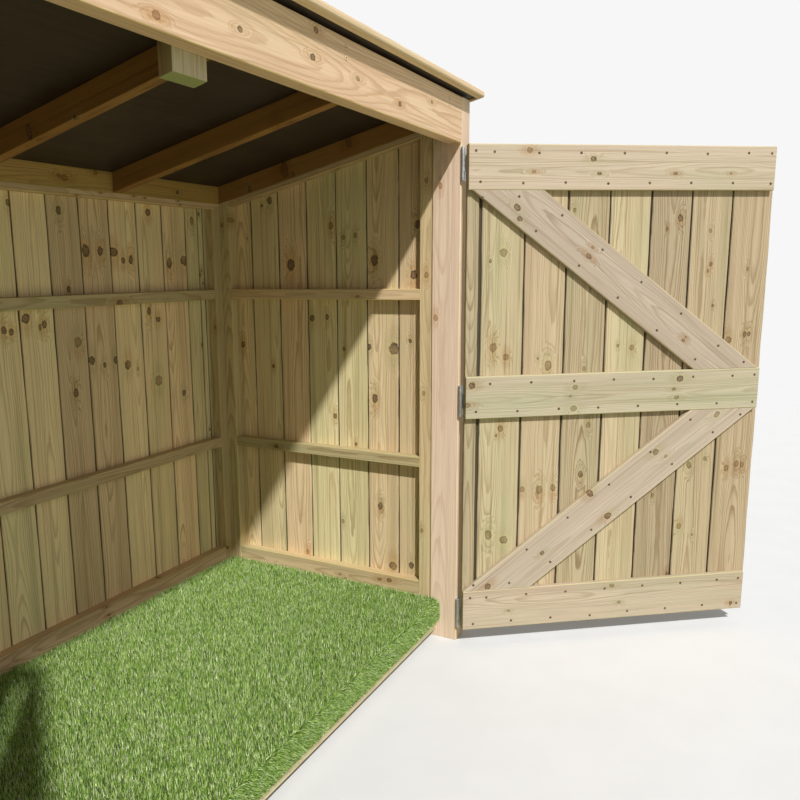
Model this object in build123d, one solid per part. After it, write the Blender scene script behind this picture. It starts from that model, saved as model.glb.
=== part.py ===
from build123d import *
import math
import os

os.makedirs("parts", exist_ok=True)

# A timber bike shelter with a single slope roof, a raised floor laid with turf and a pair of ledged doors.
# X runs to the right seen from the front, Y to the back and Z up; all sizes are in millimetres.
# The origin lies on the ground under the middle of the shelter, on the underside of its middle bearer.

# overall sizes
DEPTH = 1050.0
HALF_OPENING = 1062.0
ROOF_SLOPE = 12.5
HEADER_UNDERSIDE = 1700.0
HEADER_HEIGHT = 140.0
HEADER_THICKNESS = 44.0

# timber sections
POST_WIDTH = 70.0
POST_DEPTH = 100.0
RAIL_SET_BACK = 7.0
RAIL_DEPTH = 38.0
RAIL_HEIGHT = 38.0
BOTTOM_RAIL_HEIGHT = 63.0
TOP_RAIL_HEIGHT = 22.0
FRONT_STUD_WIDTH = 48.0
REAR_STUD_FACE = 44.0
BACK_STUD_WIDTH = 42.0
RAFTER_WIDTH = 38.0
RAFTER_DEPTH = 63.0
ARRIS = 4.0
SMALL_ARRIS = 3.0

# heights of the middle rails, measured to their top faces
UPPER_RAIL_TOP = 1240.0
LOWER_RAIL_TOP = 654.0
BOTTOM_RAIL_BEVEL = 24.0

# wall boards: vertical matched boards, whose joints show as narrow grooves
BOARD_THICKNESS = 18.0
BOARD_PITCH = 125.5
JOINT_WIDTH = 3.0
JOINT_DEPTH = 5.0
BOARD_GROUND_GAP = 20.0
BACK_FIRST_JOINT = 151.0
BACK_MAKE_UP_JOINTS = (79.0, 50.0)
SIDE_FIRST_JOINT = 245.0

# roof sheet and the rounded edging framed round it
PLY_THICKNESS = 12.0
ROOF_OVERHANG = 37.0
TRIM_THICKNESS = 20.0
TRIM_HEIGHT = 24.0
TRIM_DROP = 6.0
TRIM_NOSE = 9.0

# floor
BEARER_HEIGHT = 29.0
BEARER_WIDTH = 95.0
BEARER_SIDE_INSET = 30.0
JOIST_WIDTH = 38.0
JOIST_HEIGHT = 89.0
JOIST_COUNT = 5
FLOOR_PLY = 12.0
FASCIA_THICKNESS = 22.0
FLOOR_SETBACK = 77.5
TURF_THICKNESS = 23.0
TURF_LIP_THICKNESS = 20.0
TURF_LIP_DROP = 74.0
TURF_NOSE = 15.0
TURF_CLEARANCE = 1.0

# door leaves
HEAD_GAP = 8.0
GROUND_GAP = 61.0
JAMB_GAP = 9.0
MEETING_GAP = 6.0
MEETING_OFFSET = 21.5
DOOR_BOARD_THICKNESS = 18.0
DOOR_BOARD_PITCH = 145.5
HINGE_SIDE_STRIP = 42.0
HINGE_SIDE_GAP = 11.0
LEDGE_THICKNESS = 20.0
LEDGE_HEIGHT = 142.0
LEDGE_OVERLAP = 2.0
LEDGE_SET_IN = 13.0
MIDDLE_LEDGE_BOTTOM = 811.0
BRACE_CUT = 241.0
UPPER_BRACE_SET_IN = 12.0
BRACE_SET_IN = 8.0
OPEN_ANGLE = 128.0

# stop block hung behind the header
BLOCK_WIDTH = 97.0
BLOCK_THICKNESS = 34.0
BLOCK_LENGTH = 130.0
BLOCK_DROP = 42.0
BLOCK_FROM_CENTRE = 144.0

# tee hinges
PIN_OUT = 7.0
PIN_IN = 3.0
PIN_RADIUS = 3.0
PIN_CLEARANCE = 0.3
KNUCKLE_RADIUS = 6.5
KNUCKLE_LENGTH = 104.0
STRAP_KNUCKLE_LENGTH = 50.0
KNUCKLE_PLAY = 0.5
PLATE_THICKNESS = 3.0
JAMB_PLATE_WIDTH = 34.0
STRAP_LENGTH = 300.0
STRAP_TIP_HEIGHT = 20.0
TOP_HINGE_DROP = 56.0
MIDDLE_HINGE_RISE = 55.0
BOTTOM_HINGE_RISE = 45.0

# places worked out from the sizes above
FRONT = -DEPTH / 2
BACK = DEPTH / 2
SLOPE = math.tan(math.radians(ROOF_SLOPE))
POST_OUTER = HALF_OPENING + POST_WIDTH
POST_BACK = FRONT + POST_DEPTH
RAIL_FACE_X = HALF_OPENING + RAIL_SET_BACK
BOARD_INNER_X = RAIL_FACE_X + RAIL_DEPTH
BOARD_OUTER_X = BOARD_INNER_X + BOARD_THICKNESS
BOARD_INNER_Y = BACK - BOARD_THICKNESS
RAIL_FACE_Y = BOARD_INNER_Y - RAIL_DEPTH
HEADER_TOP = HEADER_UNDERSIDE + HEADER_HEIGHT
HEADER_BACK = FRONT + HEADER_THICKNESS
RAFTER_VERTICAL = RAFTER_DEPTH / math.cos(math.radians(ROOF_SLOPE))
DECK_BOTTOM = BEARER_HEIGHT + JOIST_HEIGHT
DECK_TOP = DECK_BOTTOM + FLOOR_PLY
FLOOR_FRONT = FRONT + FLOOR_SETBACK
STUD_BACK = POST_BACK + FRONT_STUD_WIDTH
REAR_STUD_FRONT = RAIL_FACE_Y - REAR_STUD_FACE
BACK_STUD_INNER = RAIL_FACE_X - BACK_STUD_WIDTH
HINGE_EDGE = HALF_OPENING - JAMB_GAP
LEAF_TOP = HEADER_UNDERSIDE - HEAD_GAP
TOP_HINGE_HEIGHT = LEAF_TOP - TOP_HINGE_DROP
MIDDLE_HINGE_HEIGHT = MIDDLE_LEDGE_BOTTOM + MIDDLE_HINGE_RISE
BOTTOM_HINGE_HEIGHT = GROUND_GAP + BOTTOM_HINGE_RISE
PIN_X = HALF_OPENING - PIN_IN
PIN_Y = FRONT - PIN_OUT


def ply_under(y):
    """Height of the roof sheet's underside at depth y; it rests on the header's top back arris."""
    return HEADER_TOP - SLOPE * (y - HEADER_BACK)


def rafter_under(y):
    """Height of the rafters' underside at depth y."""
    return ply_under(y) - RAFTER_VERTICAL


def timber(x0, x1, y0, y1, z0, z1):
    """A square-edged timber between two opposite corners."""
    size = (x1 - x0, y1 - y0, z1 - z0)
    return Pos((x0 + x1) / 2, (y0 + y1) / 2, (z0 + z1) / 2) * Box(*size)


def eased(piece, axis, radius=ARRIS):
    """Rounds the long arrises of a planed timber that runs along one axis."""
    return fillet(piece.edges().filter_by(axis), radius)


def side_profile(points, x0, x1):
    """Extrudes an outline drawn in depth and height from x0 to x1."""
    face = make_face(Plane.YZ * Polyline(*points, close=True))
    return Pos(x0, 0, 0) * extrude(face, x1 - x0, dir=(1, 0, 0))


def under_slope(x0, x1, y0, y1, bottom, height_at):
    """An upright piece with a level foot, sawn off at the top to the roof's slope."""
    outline = [(y0, bottom), (y1, bottom), (y1, height_at(y1)), (y0, height_at(y0))]
    return side_profile(outline, x0, x1)


def along_slope(x0, x1, y0, y1, height_at, depth):
    """A piece that follows the roof's slope, with plumb-cut ends."""
    top = [(y1, height_at(y1)), (y0, height_at(y0))]
    outline = [(y0, height_at(y0) - depth), (y1, height_at(y1) - depth)] + top
    return side_profile(outline, x0, x1)


def save(name, *pieces):
    """Writes one node; like pieces that don't touch stay separate solids in it."""
    solids = [solid for piece in pieces for solid in piece.solids()]
    shape = solids[0] if len(solids) == 1 else Compound(children=solids)
    shape.label = name
    export_step(shape, f"parts/{name}.step")


def save_pair(name, *pieces):
    """Writes the right-hand node and its mirror image on the left."""
    save(f"right_{name}", *pieces)
    save(f"left_{name}", *[mirror(piece, Plane.YZ) for piece in pieces])


# Front posts, sawn to the roof's slope behind the header, which is let in between them
post_outline = [(FRONT, 0), (POST_BACK, 0), (POST_BACK, ply_under(POST_BACK)), (HEADER_BACK, HEADER_TOP),
                (FRONT, HEADER_TOP)]
save_pair("front_post", eased(side_profile(post_outline, HALF_OPENING, POST_OUTER), Axis.Z))

header = timber(-HALF_OPENING, HALF_OPENING, FRONT, HEADER_BACK, HEADER_UNDERSIDE, HEADER_TOP)
save("header_beam", eased(header, Axis.X))


def block_top(y):
    """Height of the stop block's top at depth y; both its ends are sawn to the roof's slope."""
    return HEADER_UNDERSIDE - BLOCK_DROP + BLOCK_LENGTH - SLOPE * (y - HEADER_BACK)


block_left = -BLOCK_FROM_CENTRE - BLOCK_WIDTH
block_back = HEADER_BACK + BLOCK_THICKNESS
stop_block = along_slope(block_left, -BLOCK_FROM_CENTRE, HEADER_BACK, block_back, block_top, BLOCK_LENGTH)
save("door_stop_block", stop_block)

# Floor: bearers on the ground, joists across them, and a deck notched round the posts
rim_front = BOARD_INNER_Y - JOIST_WIDTH
bearer_reach = BOARD_INNER_X - BEARER_SIDE_INSET
bearer_places = (POST_BACK + BEARER_WIDTH, 0, rim_front - BEARER_WIDTH / 2)
bearers = [timber(-bearer_reach, bearer_reach, y - BEARER_WIDTH / 2, y + BEARER_WIDTH / 2, 0, BEARER_HEIGHT)
           for y in bearer_places]
save("ground_bearers", *bearers)

fascia_back = FLOOR_FRONT + FASCIA_THICKNESS
joist_reach = BOARD_INNER_X - JOIST_WIDTH / 2
joists = []
for index in range(JOIST_COUNT):
    x = -joist_reach + 2 * joist_reach * index / (JOIST_COUNT - 1)
    behind_post = index in (0, JOIST_COUNT - 1)
    joist_front = POST_BACK if behind_post else fascia_back
    edge = x - JOIST_WIDTH / 2
    joists.append(timber(edge, edge + JOIST_WIDTH, joist_front, rim_front, BEARER_HEIGHT, DECK_BOTTOM))
save("floor_joists", *joists)
back_rim = timber(-BOARD_INNER_X, BOARD_INNER_X, rim_front, BOARD_INNER_Y, BEARER_HEIGHT, DECK_BOTTOM)
save("floor_back_rim", back_rim)
fascia = timber(-HALF_OPENING, HALF_OPENING, FLOOR_FRONT, fascia_back, BEARER_HEIGHT, DECK_BOTTOM)
save("floor_fascia", fascia)

floor_deck = timber(-BOARD_INNER_X, BOARD_INNER_X, POST_BACK, BOARD_INNER_Y, DECK_BOTTOM, DECK_TOP)
floor_deck += timber(-HALF_OPENING, HALF_OPENING, FLOOR_FRONT, POST_BACK, DECK_BOTTOM, DECK_TOP)
save("floor_deck", floor_deck)

# Turf laid on the deck between the bottom rails, with its front edge folded down over the floor's edge
turf_top = DECK_TOP + TURF_THICKNESS
turf_reach = HALF_OPENING - TURF_CLEARANCE
inner_reach = RAIL_FACE_X - TURF_CLEARANCE
behind_posts = POST_BACK + TURF_CLEARANCE
turf = timber(-turf_reach, turf_reach, FLOOR_FRONT, behind_posts, DECK_TOP, turf_top)
turf += timber(-inner_reach, inner_reach, behind_posts, RAIL_FACE_Y - TURF_CLEARANCE, DECK_TOP, turf_top)
save("floor_turf", turf)

fold_front = FLOOR_FRONT - TURF_LIP_THICKNESS
fold = timber(-turf_reach, turf_reach, fold_front, FLOOR_FRONT, DECK_TOP - TURF_LIP_DROP, turf_top)
nose = fold.edges().filter_by(Axis.X).group_by(Axis.Z)[-1].sort_by(Axis.Y)[0]
save("turf_front_fold", fillet(nose, TURF_NOSE))

# Side walls: a stud behind the post, a stud in the back corner, and rails between them
front_stud = under_slope(RAIL_FACE_X, BOARD_INNER_X, POST_BACK, STUD_BACK, DECK_TOP, rafter_under)
save_pair("front_stud", eased(front_stud, Axis.Z, SMALL_ARRIS))
rear_stud = under_slope(RAIL_FACE_X, BOARD_INNER_X, REAR_STUD_FRONT, BOARD_INNER_Y, DECK_TOP, rafter_under)
save_pair("rear_stud", eased(rear_stud, Axis.Z, SMALL_ARRIS))

middle_levels = [(top - RAIL_HEIGHT, top) for top in (LOWER_RAIL_TOP, UPPER_RAIL_TOP)]
bottom_level = (DECK_TOP, DECK_TOP + BOTTOM_RAIL_HEIGHT)

side_rails = []
for low, high in middle_levels:
    rail = timber(RAIL_FACE_X, BOARD_INNER_X, STUD_BACK, REAR_STUD_FRONT, low, high)
    side_rails.append(eased(rail, Axis.Y, SMALL_ARRIS))
bottom_low, bottom_high = bottom_level
bevelled = [(STUD_BACK, bottom_low), (REAR_STUD_FRONT, bottom_low), (REAR_STUD_FRONT, bottom_high),
            (STUD_BACK + BOTTOM_RAIL_BEVEL, bottom_high), (STUD_BACK, bottom_high - BOTTOM_RAIL_BEVEL)]
side_rails.append(eased(side_profile(bevelled, RAIL_FACE_X, BOARD_INNER_X), Axis.Y))
top_rail = along_slope(RAIL_FACE_X, BOARD_INNER_X, STUD_BACK, REAR_STUD_FRONT, rafter_under, TOP_RAIL_HEIGHT)
side_rails.append(top_rail)
save_pair("wall_rails", *side_rails)

# Back wall: end studs and rails, and the plate that carries the rafters' back ends
plate_bottom = rafter_under(RAIL_FACE_Y)
top_rail_bottom = plate_bottom - TOP_RAIL_HEIGHT
back_stud = timber(BACK_STUD_INNER, RAIL_FACE_X, RAIL_FACE_Y, BOARD_INNER_Y, DECK_TOP, top_rail_bottom)
back_stud = eased(back_stud, Axis.Z, SMALL_ARRIS)
save("back_wall_studs", back_stud, mirror(back_stud, Plane.YZ))

back_rails = []
for low, high in [bottom_level] + middle_levels:
    rail = timber(-BACK_STUD_INNER, BACK_STUD_INNER, RAIL_FACE_Y, BOARD_INNER_Y, low, high)
    back_rails.append(eased(rail, Axis.X, SMALL_ARRIS))
back_top_rail = timber(-RAIL_FACE_X, RAIL_FACE_X, RAIL_FACE_Y, BOARD_INNER_Y, top_rail_bottom, plate_bottom)
save("back_wall_rails", *back_rails, back_top_rail)
wall_plate = under_slope(-RAIL_FACE_X, RAIL_FACE_X, RAIL_FACE_Y, BOARD_INNER_Y, plate_bottom, ply_under)
save("wall_plate", wall_plate)


def joint_places(first, low, high):
    """Joint lines at the boards' pitch either way from a first one, inside a wall."""
    below = int((first - low) // BOARD_PITCH)
    above = int((high - first) // BOARD_PITCH)
    places = [first + index * BOARD_PITCH for index in range(-below, above + 1)]
    return [place for place in places if low + JOINT_WIDTH < place < high - JOINT_WIDTH]


# Wall boards outside the rails, up to the roof sheet and down to just above the ground
back_boards = under_slope(-BOARD_OUTER_X, BOARD_OUTER_X, BOARD_INNER_Y, BACK, BOARD_GROUND_GAP, ply_under)
first_joint = HALF_OPENING - BACK_FIRST_JOINT
back_joints = joint_places(first_joint, -BOARD_OUTER_X, first_joint + 1)
back_joints += [HALF_OPENING - distance for distance in BACK_MAKE_UP_JOINTS]
for x in back_joints:
    for y in (BOARD_INNER_Y, BACK - JOINT_DEPTH):
        back_boards -= timber(x - JOINT_WIDTH / 2, x + JOINT_WIDTH / 2, y, y + JOINT_DEPTH, 0, HEADER_TOP)
save("back_wall_boards", back_boards)

side_boards = under_slope(BOARD_INNER_X, BOARD_OUTER_X, POST_BACK, BOARD_INNER_Y, BOARD_GROUND_GAP, ply_under)
for y in joint_places(FRONT + SIDE_FIRST_JOINT, POST_BACK, BOARD_INNER_Y):
    for x in (BOARD_INNER_X, BOARD_OUTER_X - JOINT_DEPTH):
        side_boards -= timber(x, x + JOINT_DEPTH, y - JOINT_WIDTH / 2, y + JOINT_WIDTH / 2, 0, HEADER_TOP)
save_pair("wall_boards", side_boards)


def rafter(centre_x, front_y, back_y):
    """A rafter under the roof sheet, between two depths."""
    reach = RAFTER_WIDTH / 2
    return along_slope(centre_x - reach, centre_x + reach, front_y, back_y, ply_under, RAFTER_VERTICAL)


# Rafters: one over each side wall, and three between the header and the wall plate
save_pair("edge_rafter", rafter(RAIL_FACE_X + RAFTER_WIDTH / 2, POST_BACK, BOARD_INNER_Y))
save_pair("rafter", rafter((RAIL_FACE_X + RAFTER_WIDTH / 2) / 2, HEADER_BACK, RAIL_FACE_Y))
save("centre_rafter", rafter(0, HEADER_BACK, RAIL_FACE_Y))

# Roof, drawn level with its underside at height 0 and then tilted: a sheet with an edging mitred round it
roof_place = Pos(0, FRONT, ply_under(FRONT)) * Rot(-ROOF_SLOPE, 0, 0)
sheet_x = POST_OUTER + ROOF_OVERHANG - TRIM_THICKNESS
sheet_front = TRIM_THICKNESS - ROOF_OVERHANG
sheet_back = DEPTH / math.cos(math.radians(ROOF_SLOPE)) + ROOF_OVERHANG - TRIM_THICKNESS
roof_sheet = timber(-sheet_x, sheet_x, sheet_front, sheet_back, 0, PLY_THICKNESS)
save("roof_deck", roof_place * roof_sheet)

edge_x = sheet_x + TRIM_THICKNESS
edge_front = sheet_front - TRIM_THICKNESS
edge_back = sheet_back + TRIM_THICKNESS
edging = timber(-edge_x, edge_x, edge_front, edge_back, -TRIM_DROP, TRIM_HEIGHT - TRIM_DROP)
rounded = edging.edges().filter_by(Axis.X) + edging.edges().filter_by(Axis.Y)
edging = fillet(rounded, TRIM_NOSE)
edging -= timber(-sheet_x, sheet_x, sheet_front, sheet_back, -TRIM_DROP, TRIM_HEIGHT - TRIM_DROP)

middle = (sheet_front + sheet_back) / 2
reach = (edge_back - edge_front) / 2
front_left = (-edge_x, edge_front)
front_right = (edge_x, edge_front)
back_left = (-edge_x, edge_back)
back_right = (edge_x, edge_back)
ridge_left = (-edge_x + reach, middle)
ridge_right = (edge_x - reach, middle)
mitre_outlines = {
    "front_roof_trim": (front_left, front_right, ridge_right, ridge_left),
    "back_roof_trim": (back_left, ridge_left, ridge_right, back_right),
    "left_roof_trim": (front_left, ridge_left, back_left),
    "right_roof_trim": (front_right, back_right, ridge_right),
}
for name, outline in mitre_outlines.items():
    wedge = extrude(make_face(Polyline(*outline, close=True)), TRIM_HEIGHT, both=True)
    save(name, roof_place * (edging & wedge))


# Door leaves, drawn shut on the right-hand side and then swung open about their pins. They meet left of
# the middle, so that the right leaf is whole boards wide and the left leaf's last board is ripped narrower
board_back = FRONT + DOOR_BOARD_THICKNESS
ledge_back = board_back + LEDGE_THICKNESS
boards_hinge_edge = HINGE_EDGE - LEDGE_OVERLAP
strip_inner = HINGE_EDGE - HINGE_SIDE_STRIP
panel_edge = strip_inner - HINGE_SIDE_GAP


def leaf_boards(meeting_edge):
    """The strip on the hinge side and the panel of matched boards up to the meeting edge."""
    strip = timber(strip_inner, boards_hinge_edge, FRONT, board_back, GROUND_GAP, LEAF_TOP)
    panel = timber(meeting_edge, panel_edge, FRONT, board_back, GROUND_GAP, LEAF_TOP)
    joint_x = panel_edge - DOOR_BOARD_PITCH
    while joint_x > meeting_edge + JOINT_WIDTH:
        groove_x = joint_x - JOINT_WIDTH / 2
        for y in (FRONT, board_back - JOINT_DEPTH):
            panel -= timber(groove_x, groove_x + JOINT_WIDTH, y, y + JOINT_DEPTH, 0, HEADER_TOP)
        joint_x -= DOOR_BOARD_PITCH
    return strip, panel


def leaf_ledges(meeting_edge):
    """Three ledges across the boards' inner face, held in from the meeting edge."""
    ledges = []
    for z in (GROUND_GAP, MIDDLE_LEDGE_BOTTOM, LEAF_TOP - LEDGE_HEIGHT):
        ledge = timber(meeting_edge + LEDGE_SET_IN, HINGE_EDGE, board_back, ledge_back, z, z + LEDGE_HEIGHT)
        ledges.append(eased(ledge, Axis.X, SMALL_ARRIS))
    return ledges


def brace(hinge_x, hinge_z, meeting_x, meeting_z):
    """A brace from the hinge side to the meeting edge, cut level where it butts the ledges."""
    corners = [(hinge_x, board_back, hinge_z), (hinge_x - BRACE_CUT, board_back, hinge_z),
               (meeting_x, board_back, meeting_z), (meeting_x + BRACE_CUT, board_back, meeting_z)]
    return extrude(make_face(Polyline(*corners, close=True)), LEDGE_THICKNESS, dir=(0, 1, 0))


def leaf_braces(meeting_edge):
    """Two braces between the ledges, stopped short of the ledges' free ends."""
    brace_end = meeting_edge + LEDGE_SET_IN + BRACE_SET_IN
    upper = brace(HINGE_EDGE - UPPER_BRACE_SET_IN, LEAF_TOP - LEDGE_HEIGHT,
                  brace_end, MIDDLE_LEDGE_BOTTOM + LEDGE_HEIGHT)
    return upper, brace(boards_hinge_edge, GROUND_GAP + LEDGE_HEIGHT, brace_end, MIDDLE_LEDGE_BOTTOM)


def swung_open(*pieces):
    """Turns shut pieces of the right-hand leaf about the pins to where the door stands open."""
    hinge_line = Axis((PIN_X, PIN_Y, 0), (0, 0, 1))
    return [piece.rotate(hinge_line, OPEN_ANGLE) for piece in pieces]


def save_leaf(side, meeting_edge):
    """Writes one leaf's wooden nodes; the left leaf is the mirror image of a right-hand drawing."""
    for name, draw in (("boards", leaf_boards), ("ledges", leaf_ledges), ("braces", leaf_braces)):
        pieces = swung_open(*draw(meeting_edge))
        if side == "left":
            pieces = [mirror(piece, Plane.YZ) for piece in pieces]
        save(f"{side}_door_{name}", *pieces)


save_leaf("right", MEETING_GAP / 2 - MEETING_OFFSET)
save_leaf("left", MEETING_GAP / 2 + MEETING_OFFSET)


# Tee hinges, three to a leaf
def upright_bar(z0, z1, radius):
    """A round bar on the hinge line."""
    return Pos(PIN_X, PIN_Y, (z0 + z1) / 2) * Cylinder(radius, z1 - z0)


def hinge_jamb(height):
    """The fixed half of a tee hinge: a plate on the post, two knuckles rolled from it, and the pin."""
    low = height - KNUCKLE_LENGTH / 2
    high = height + KNUCKLE_LENGTH / 2
    strap_low = height - STRAP_KNUCKLE_LENGTH / 2 - KNUCKLE_PLAY
    strap_high = height + STRAP_KNUCKLE_LENGTH / 2 + KNUCKLE_PLAY
    strap_room = PIN_X + math.hypot(PIN_OUT, PIN_OUT)
    plate = timber(PIN_X, PIN_X + JAMB_PLATE_WIDTH, FRONT - PLATE_THICKNESS, FRONT, low, high)
    plate -= timber(PIN_X, strap_room, FRONT - PLATE_THICKNESS, FRONT, strap_low, strap_high)
    plate += upright_bar(low, strap_low, KNUCKLE_RADIUS)
    plate += upright_bar(strap_high, high, KNUCKLE_RADIUS)
    return plate + upright_bar(low, high, PIN_RADIUS)


def hinge_strap(height):
    """The moving half: a tapered strap on the door's outer face, rolled into the middle knuckle."""
    low = height - STRAP_KNUCKLE_LENGTH / 2
    high = height + STRAP_KNUCKLE_LENGTH / 2
    tip_x = PIN_X - STRAP_LENGTH
    outline = [(PIN_X, FRONT, low), (PIN_X, FRONT, high), (tip_x, FRONT, height + STRAP_TIP_HEIGHT / 2),
               (tip_x, FRONT, height - STRAP_TIP_HEIGHT / 2)]
    strap = extrude(make_face(Polyline(*outline, close=True)), PLATE_THICKNESS, dir=(0, -1, 0))
    strap += upright_bar(low, high, KNUCKLE_RADIUS)
    return strap - upright_bar(low, high, PIN_RADIUS + PIN_CLEARANCE)


hinge_heights = (BOTTOM_HINGE_HEIGHT, MIDDLE_HINGE_HEIGHT, TOP_HINGE_HEIGHT)
save_pair("hinge_jambs", *[hinge_jamb(height) for height in hinge_heights])
save_pair("door_hinge_straps", *swung_open(*[hinge_strap(height) for height in hinge_heights]))
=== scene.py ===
import math
from functools import reduce

import bpy
import numpy as np
from mathutils import Matrix, Vector


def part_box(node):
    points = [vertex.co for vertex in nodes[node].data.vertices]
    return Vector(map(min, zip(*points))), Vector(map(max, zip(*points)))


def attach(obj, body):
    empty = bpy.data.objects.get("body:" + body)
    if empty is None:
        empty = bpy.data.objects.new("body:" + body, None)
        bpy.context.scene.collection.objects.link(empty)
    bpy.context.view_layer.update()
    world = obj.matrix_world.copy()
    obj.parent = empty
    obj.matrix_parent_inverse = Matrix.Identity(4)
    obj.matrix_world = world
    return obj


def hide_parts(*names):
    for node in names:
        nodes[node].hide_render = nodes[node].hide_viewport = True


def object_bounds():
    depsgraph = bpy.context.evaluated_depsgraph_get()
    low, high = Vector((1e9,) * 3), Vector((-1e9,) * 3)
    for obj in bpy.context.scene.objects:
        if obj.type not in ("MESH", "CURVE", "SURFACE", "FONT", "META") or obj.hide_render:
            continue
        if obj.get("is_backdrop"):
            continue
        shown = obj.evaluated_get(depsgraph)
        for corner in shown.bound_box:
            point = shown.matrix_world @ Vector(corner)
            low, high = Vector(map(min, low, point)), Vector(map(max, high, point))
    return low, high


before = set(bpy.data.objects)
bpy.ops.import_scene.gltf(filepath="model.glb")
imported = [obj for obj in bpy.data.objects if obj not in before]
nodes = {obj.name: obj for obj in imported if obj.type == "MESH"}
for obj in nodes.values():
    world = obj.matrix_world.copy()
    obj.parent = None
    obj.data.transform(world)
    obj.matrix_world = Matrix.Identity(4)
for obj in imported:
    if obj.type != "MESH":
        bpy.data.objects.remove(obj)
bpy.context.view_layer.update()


# Floor frame: bearers on the ground, joists across them and a rim along the back
# Sawn softwood, pressure treated and still greenish, nailed together before the walls go up
class NodeSheet:
    """A node tree that is laid out one node at a time."""

    def __init__(self, tree):
        self.tree = tree

    def node(self, kind, feeds=None, **settings):
        """Adds a node, sets its options and feeds its sockets with values or with other outputs."""
        node = self.tree.nodes.new(kind)
        for name, value in settings.items():
            setattr(node, name, value)
        for socket, value in (feeds or {}).items():
            self.feed(node.inputs[socket], value)
        return node.outputs

    def feed(self, socket, value):
        if isinstance(value, bpy.types.NodeSocket):
            self.tree.links.new(value, socket)
        else:
            socket.default_value = value

    def math(self, operation, *values):
        return self.node("ShaderNodeMath", dict(enumerate(values)), operation=operation)[0]

    def plus(self, *values):
        return reduce(lambda total, value: self.math("ADD", total, value), values)

    def times(self, *values):
        return reduce(lambda product, value: self.math("MULTIPLY", product, value), values)

    def scaled(self, value, slope, start):
        return self.math("MULTIPLY_ADD", value, slope, start)

    def about_zero(self, noise, reach):
        """Noise that swings as far below zero as above it, reach in all."""
        return self.scaled(noise, reach, -reach / 2)

    def vector(self, operation, *values):
        return self.node("ShaderNodeVectorMath", dict(enumerate(values)), operation=operation)[0]

    def length(self, vector):
        return self.node("ShaderNodeVectorMath", {0: vector}, operation="LENGTH")["Value"]

    def noise(self, place, scale, detail=2.0, roughness=0.5):
        feeds = {"Vector": place, "Scale": scale, "Detail": detail, "Roughness": roughness}
        return self.node("ShaderNodeTexNoise", feeds)[0]

    def streaks(self, place, paces, detail=2.0, roughness=0.5):
        """Noise with its own pace along each axis of place."""
        return self.noise(self.vector("MULTIPLY", place, paces), 1.0, detail, roughness)

    def patches(self, way, pace):
        """Noise that changes with one measure only, such as the way along a log."""
        return self.noise(self.combined(self.times(way, pace), 0.0, 0.0), 1.0)

    def fade(self, value, start, end, low=0.0, high=1.0):
        """Runs smoothly from low at start to high at end."""
        feeds = {"Value": value, "From Min": start, "From Max": end, "To Min": low, "To Max": high}
        return self.node("ShaderNodeMapRange", feeds, interpolation_type="SMOOTHSTEP")[0]

    def mix(self, share, first, second, blend="MIX"):
        feeds = {0: share, 6: opaque(first), 7: opaque(second)}
        return self.node("ShaderNodeMix", feeds, data_type="RGBA", blend_type=blend)[2]

    def tinted(self, share, colour, tint):
        """The colour multiplied by the tint, as far as share says."""
        return self.mix(share, colour, tint, "MULTIPLY")

    def parts(self, vector):
        return self.node("ShaderNodeSeparateXYZ", {0: vector})

    def combined(self, x, y, z):
        return self.node("ShaderNodeCombineXYZ", {0: x, 1: y, 2: z})[0]


def opaque(colour):
    return (*colour, 1.0) if isinstance(colour, tuple) else colour


class Finish(NodeSheet):
    """A material that grows round its own Principled shader."""

    def __init__(self, name, **constants):
        self.material = bpy.data.materials.new(name)
        self.material.use_nodes = True
        super().__init__(self.material.node_tree)
        self.shader = self.tree.nodes["Principled BSDF"]
        for socket, value in constants.items():
            self.shader.inputs[socket.replace("_", " ")].default_value = value

    def attribute(self, name, output="Vector"):
        return self.node("ShaderNodeAttribute", attribute_name=name)[output]

    def object_place(self):
        return self.node("ShaderNodeTexCoord")["Object"]

    def paint(self, **sockets):
        for socket, value in sockets.items():
            self.feed(self.shader.inputs[socket.replace("_", " ")], value)

    def bump(self, height, depth):
        """Raises the surface by depth in metres where height is 1."""
        self.paint(Normal=self.node("ShaderNodeBump", {"Height": height, "Distance": depth})[0])


KNOTS_SHOWN = 8
KNOT_SIZES = (0.003, 0.008)
KNOT_CELLS = 6.0
KNOTTY_CELLS = 0.4
HEART_TURN = 0.05
KNOT_STRETCH = 0.70
FEATHER_STRETCH = 0.34
KNOT_RAGGED_PACE = 110.0
FAR_AWAY = 999.0


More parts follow.
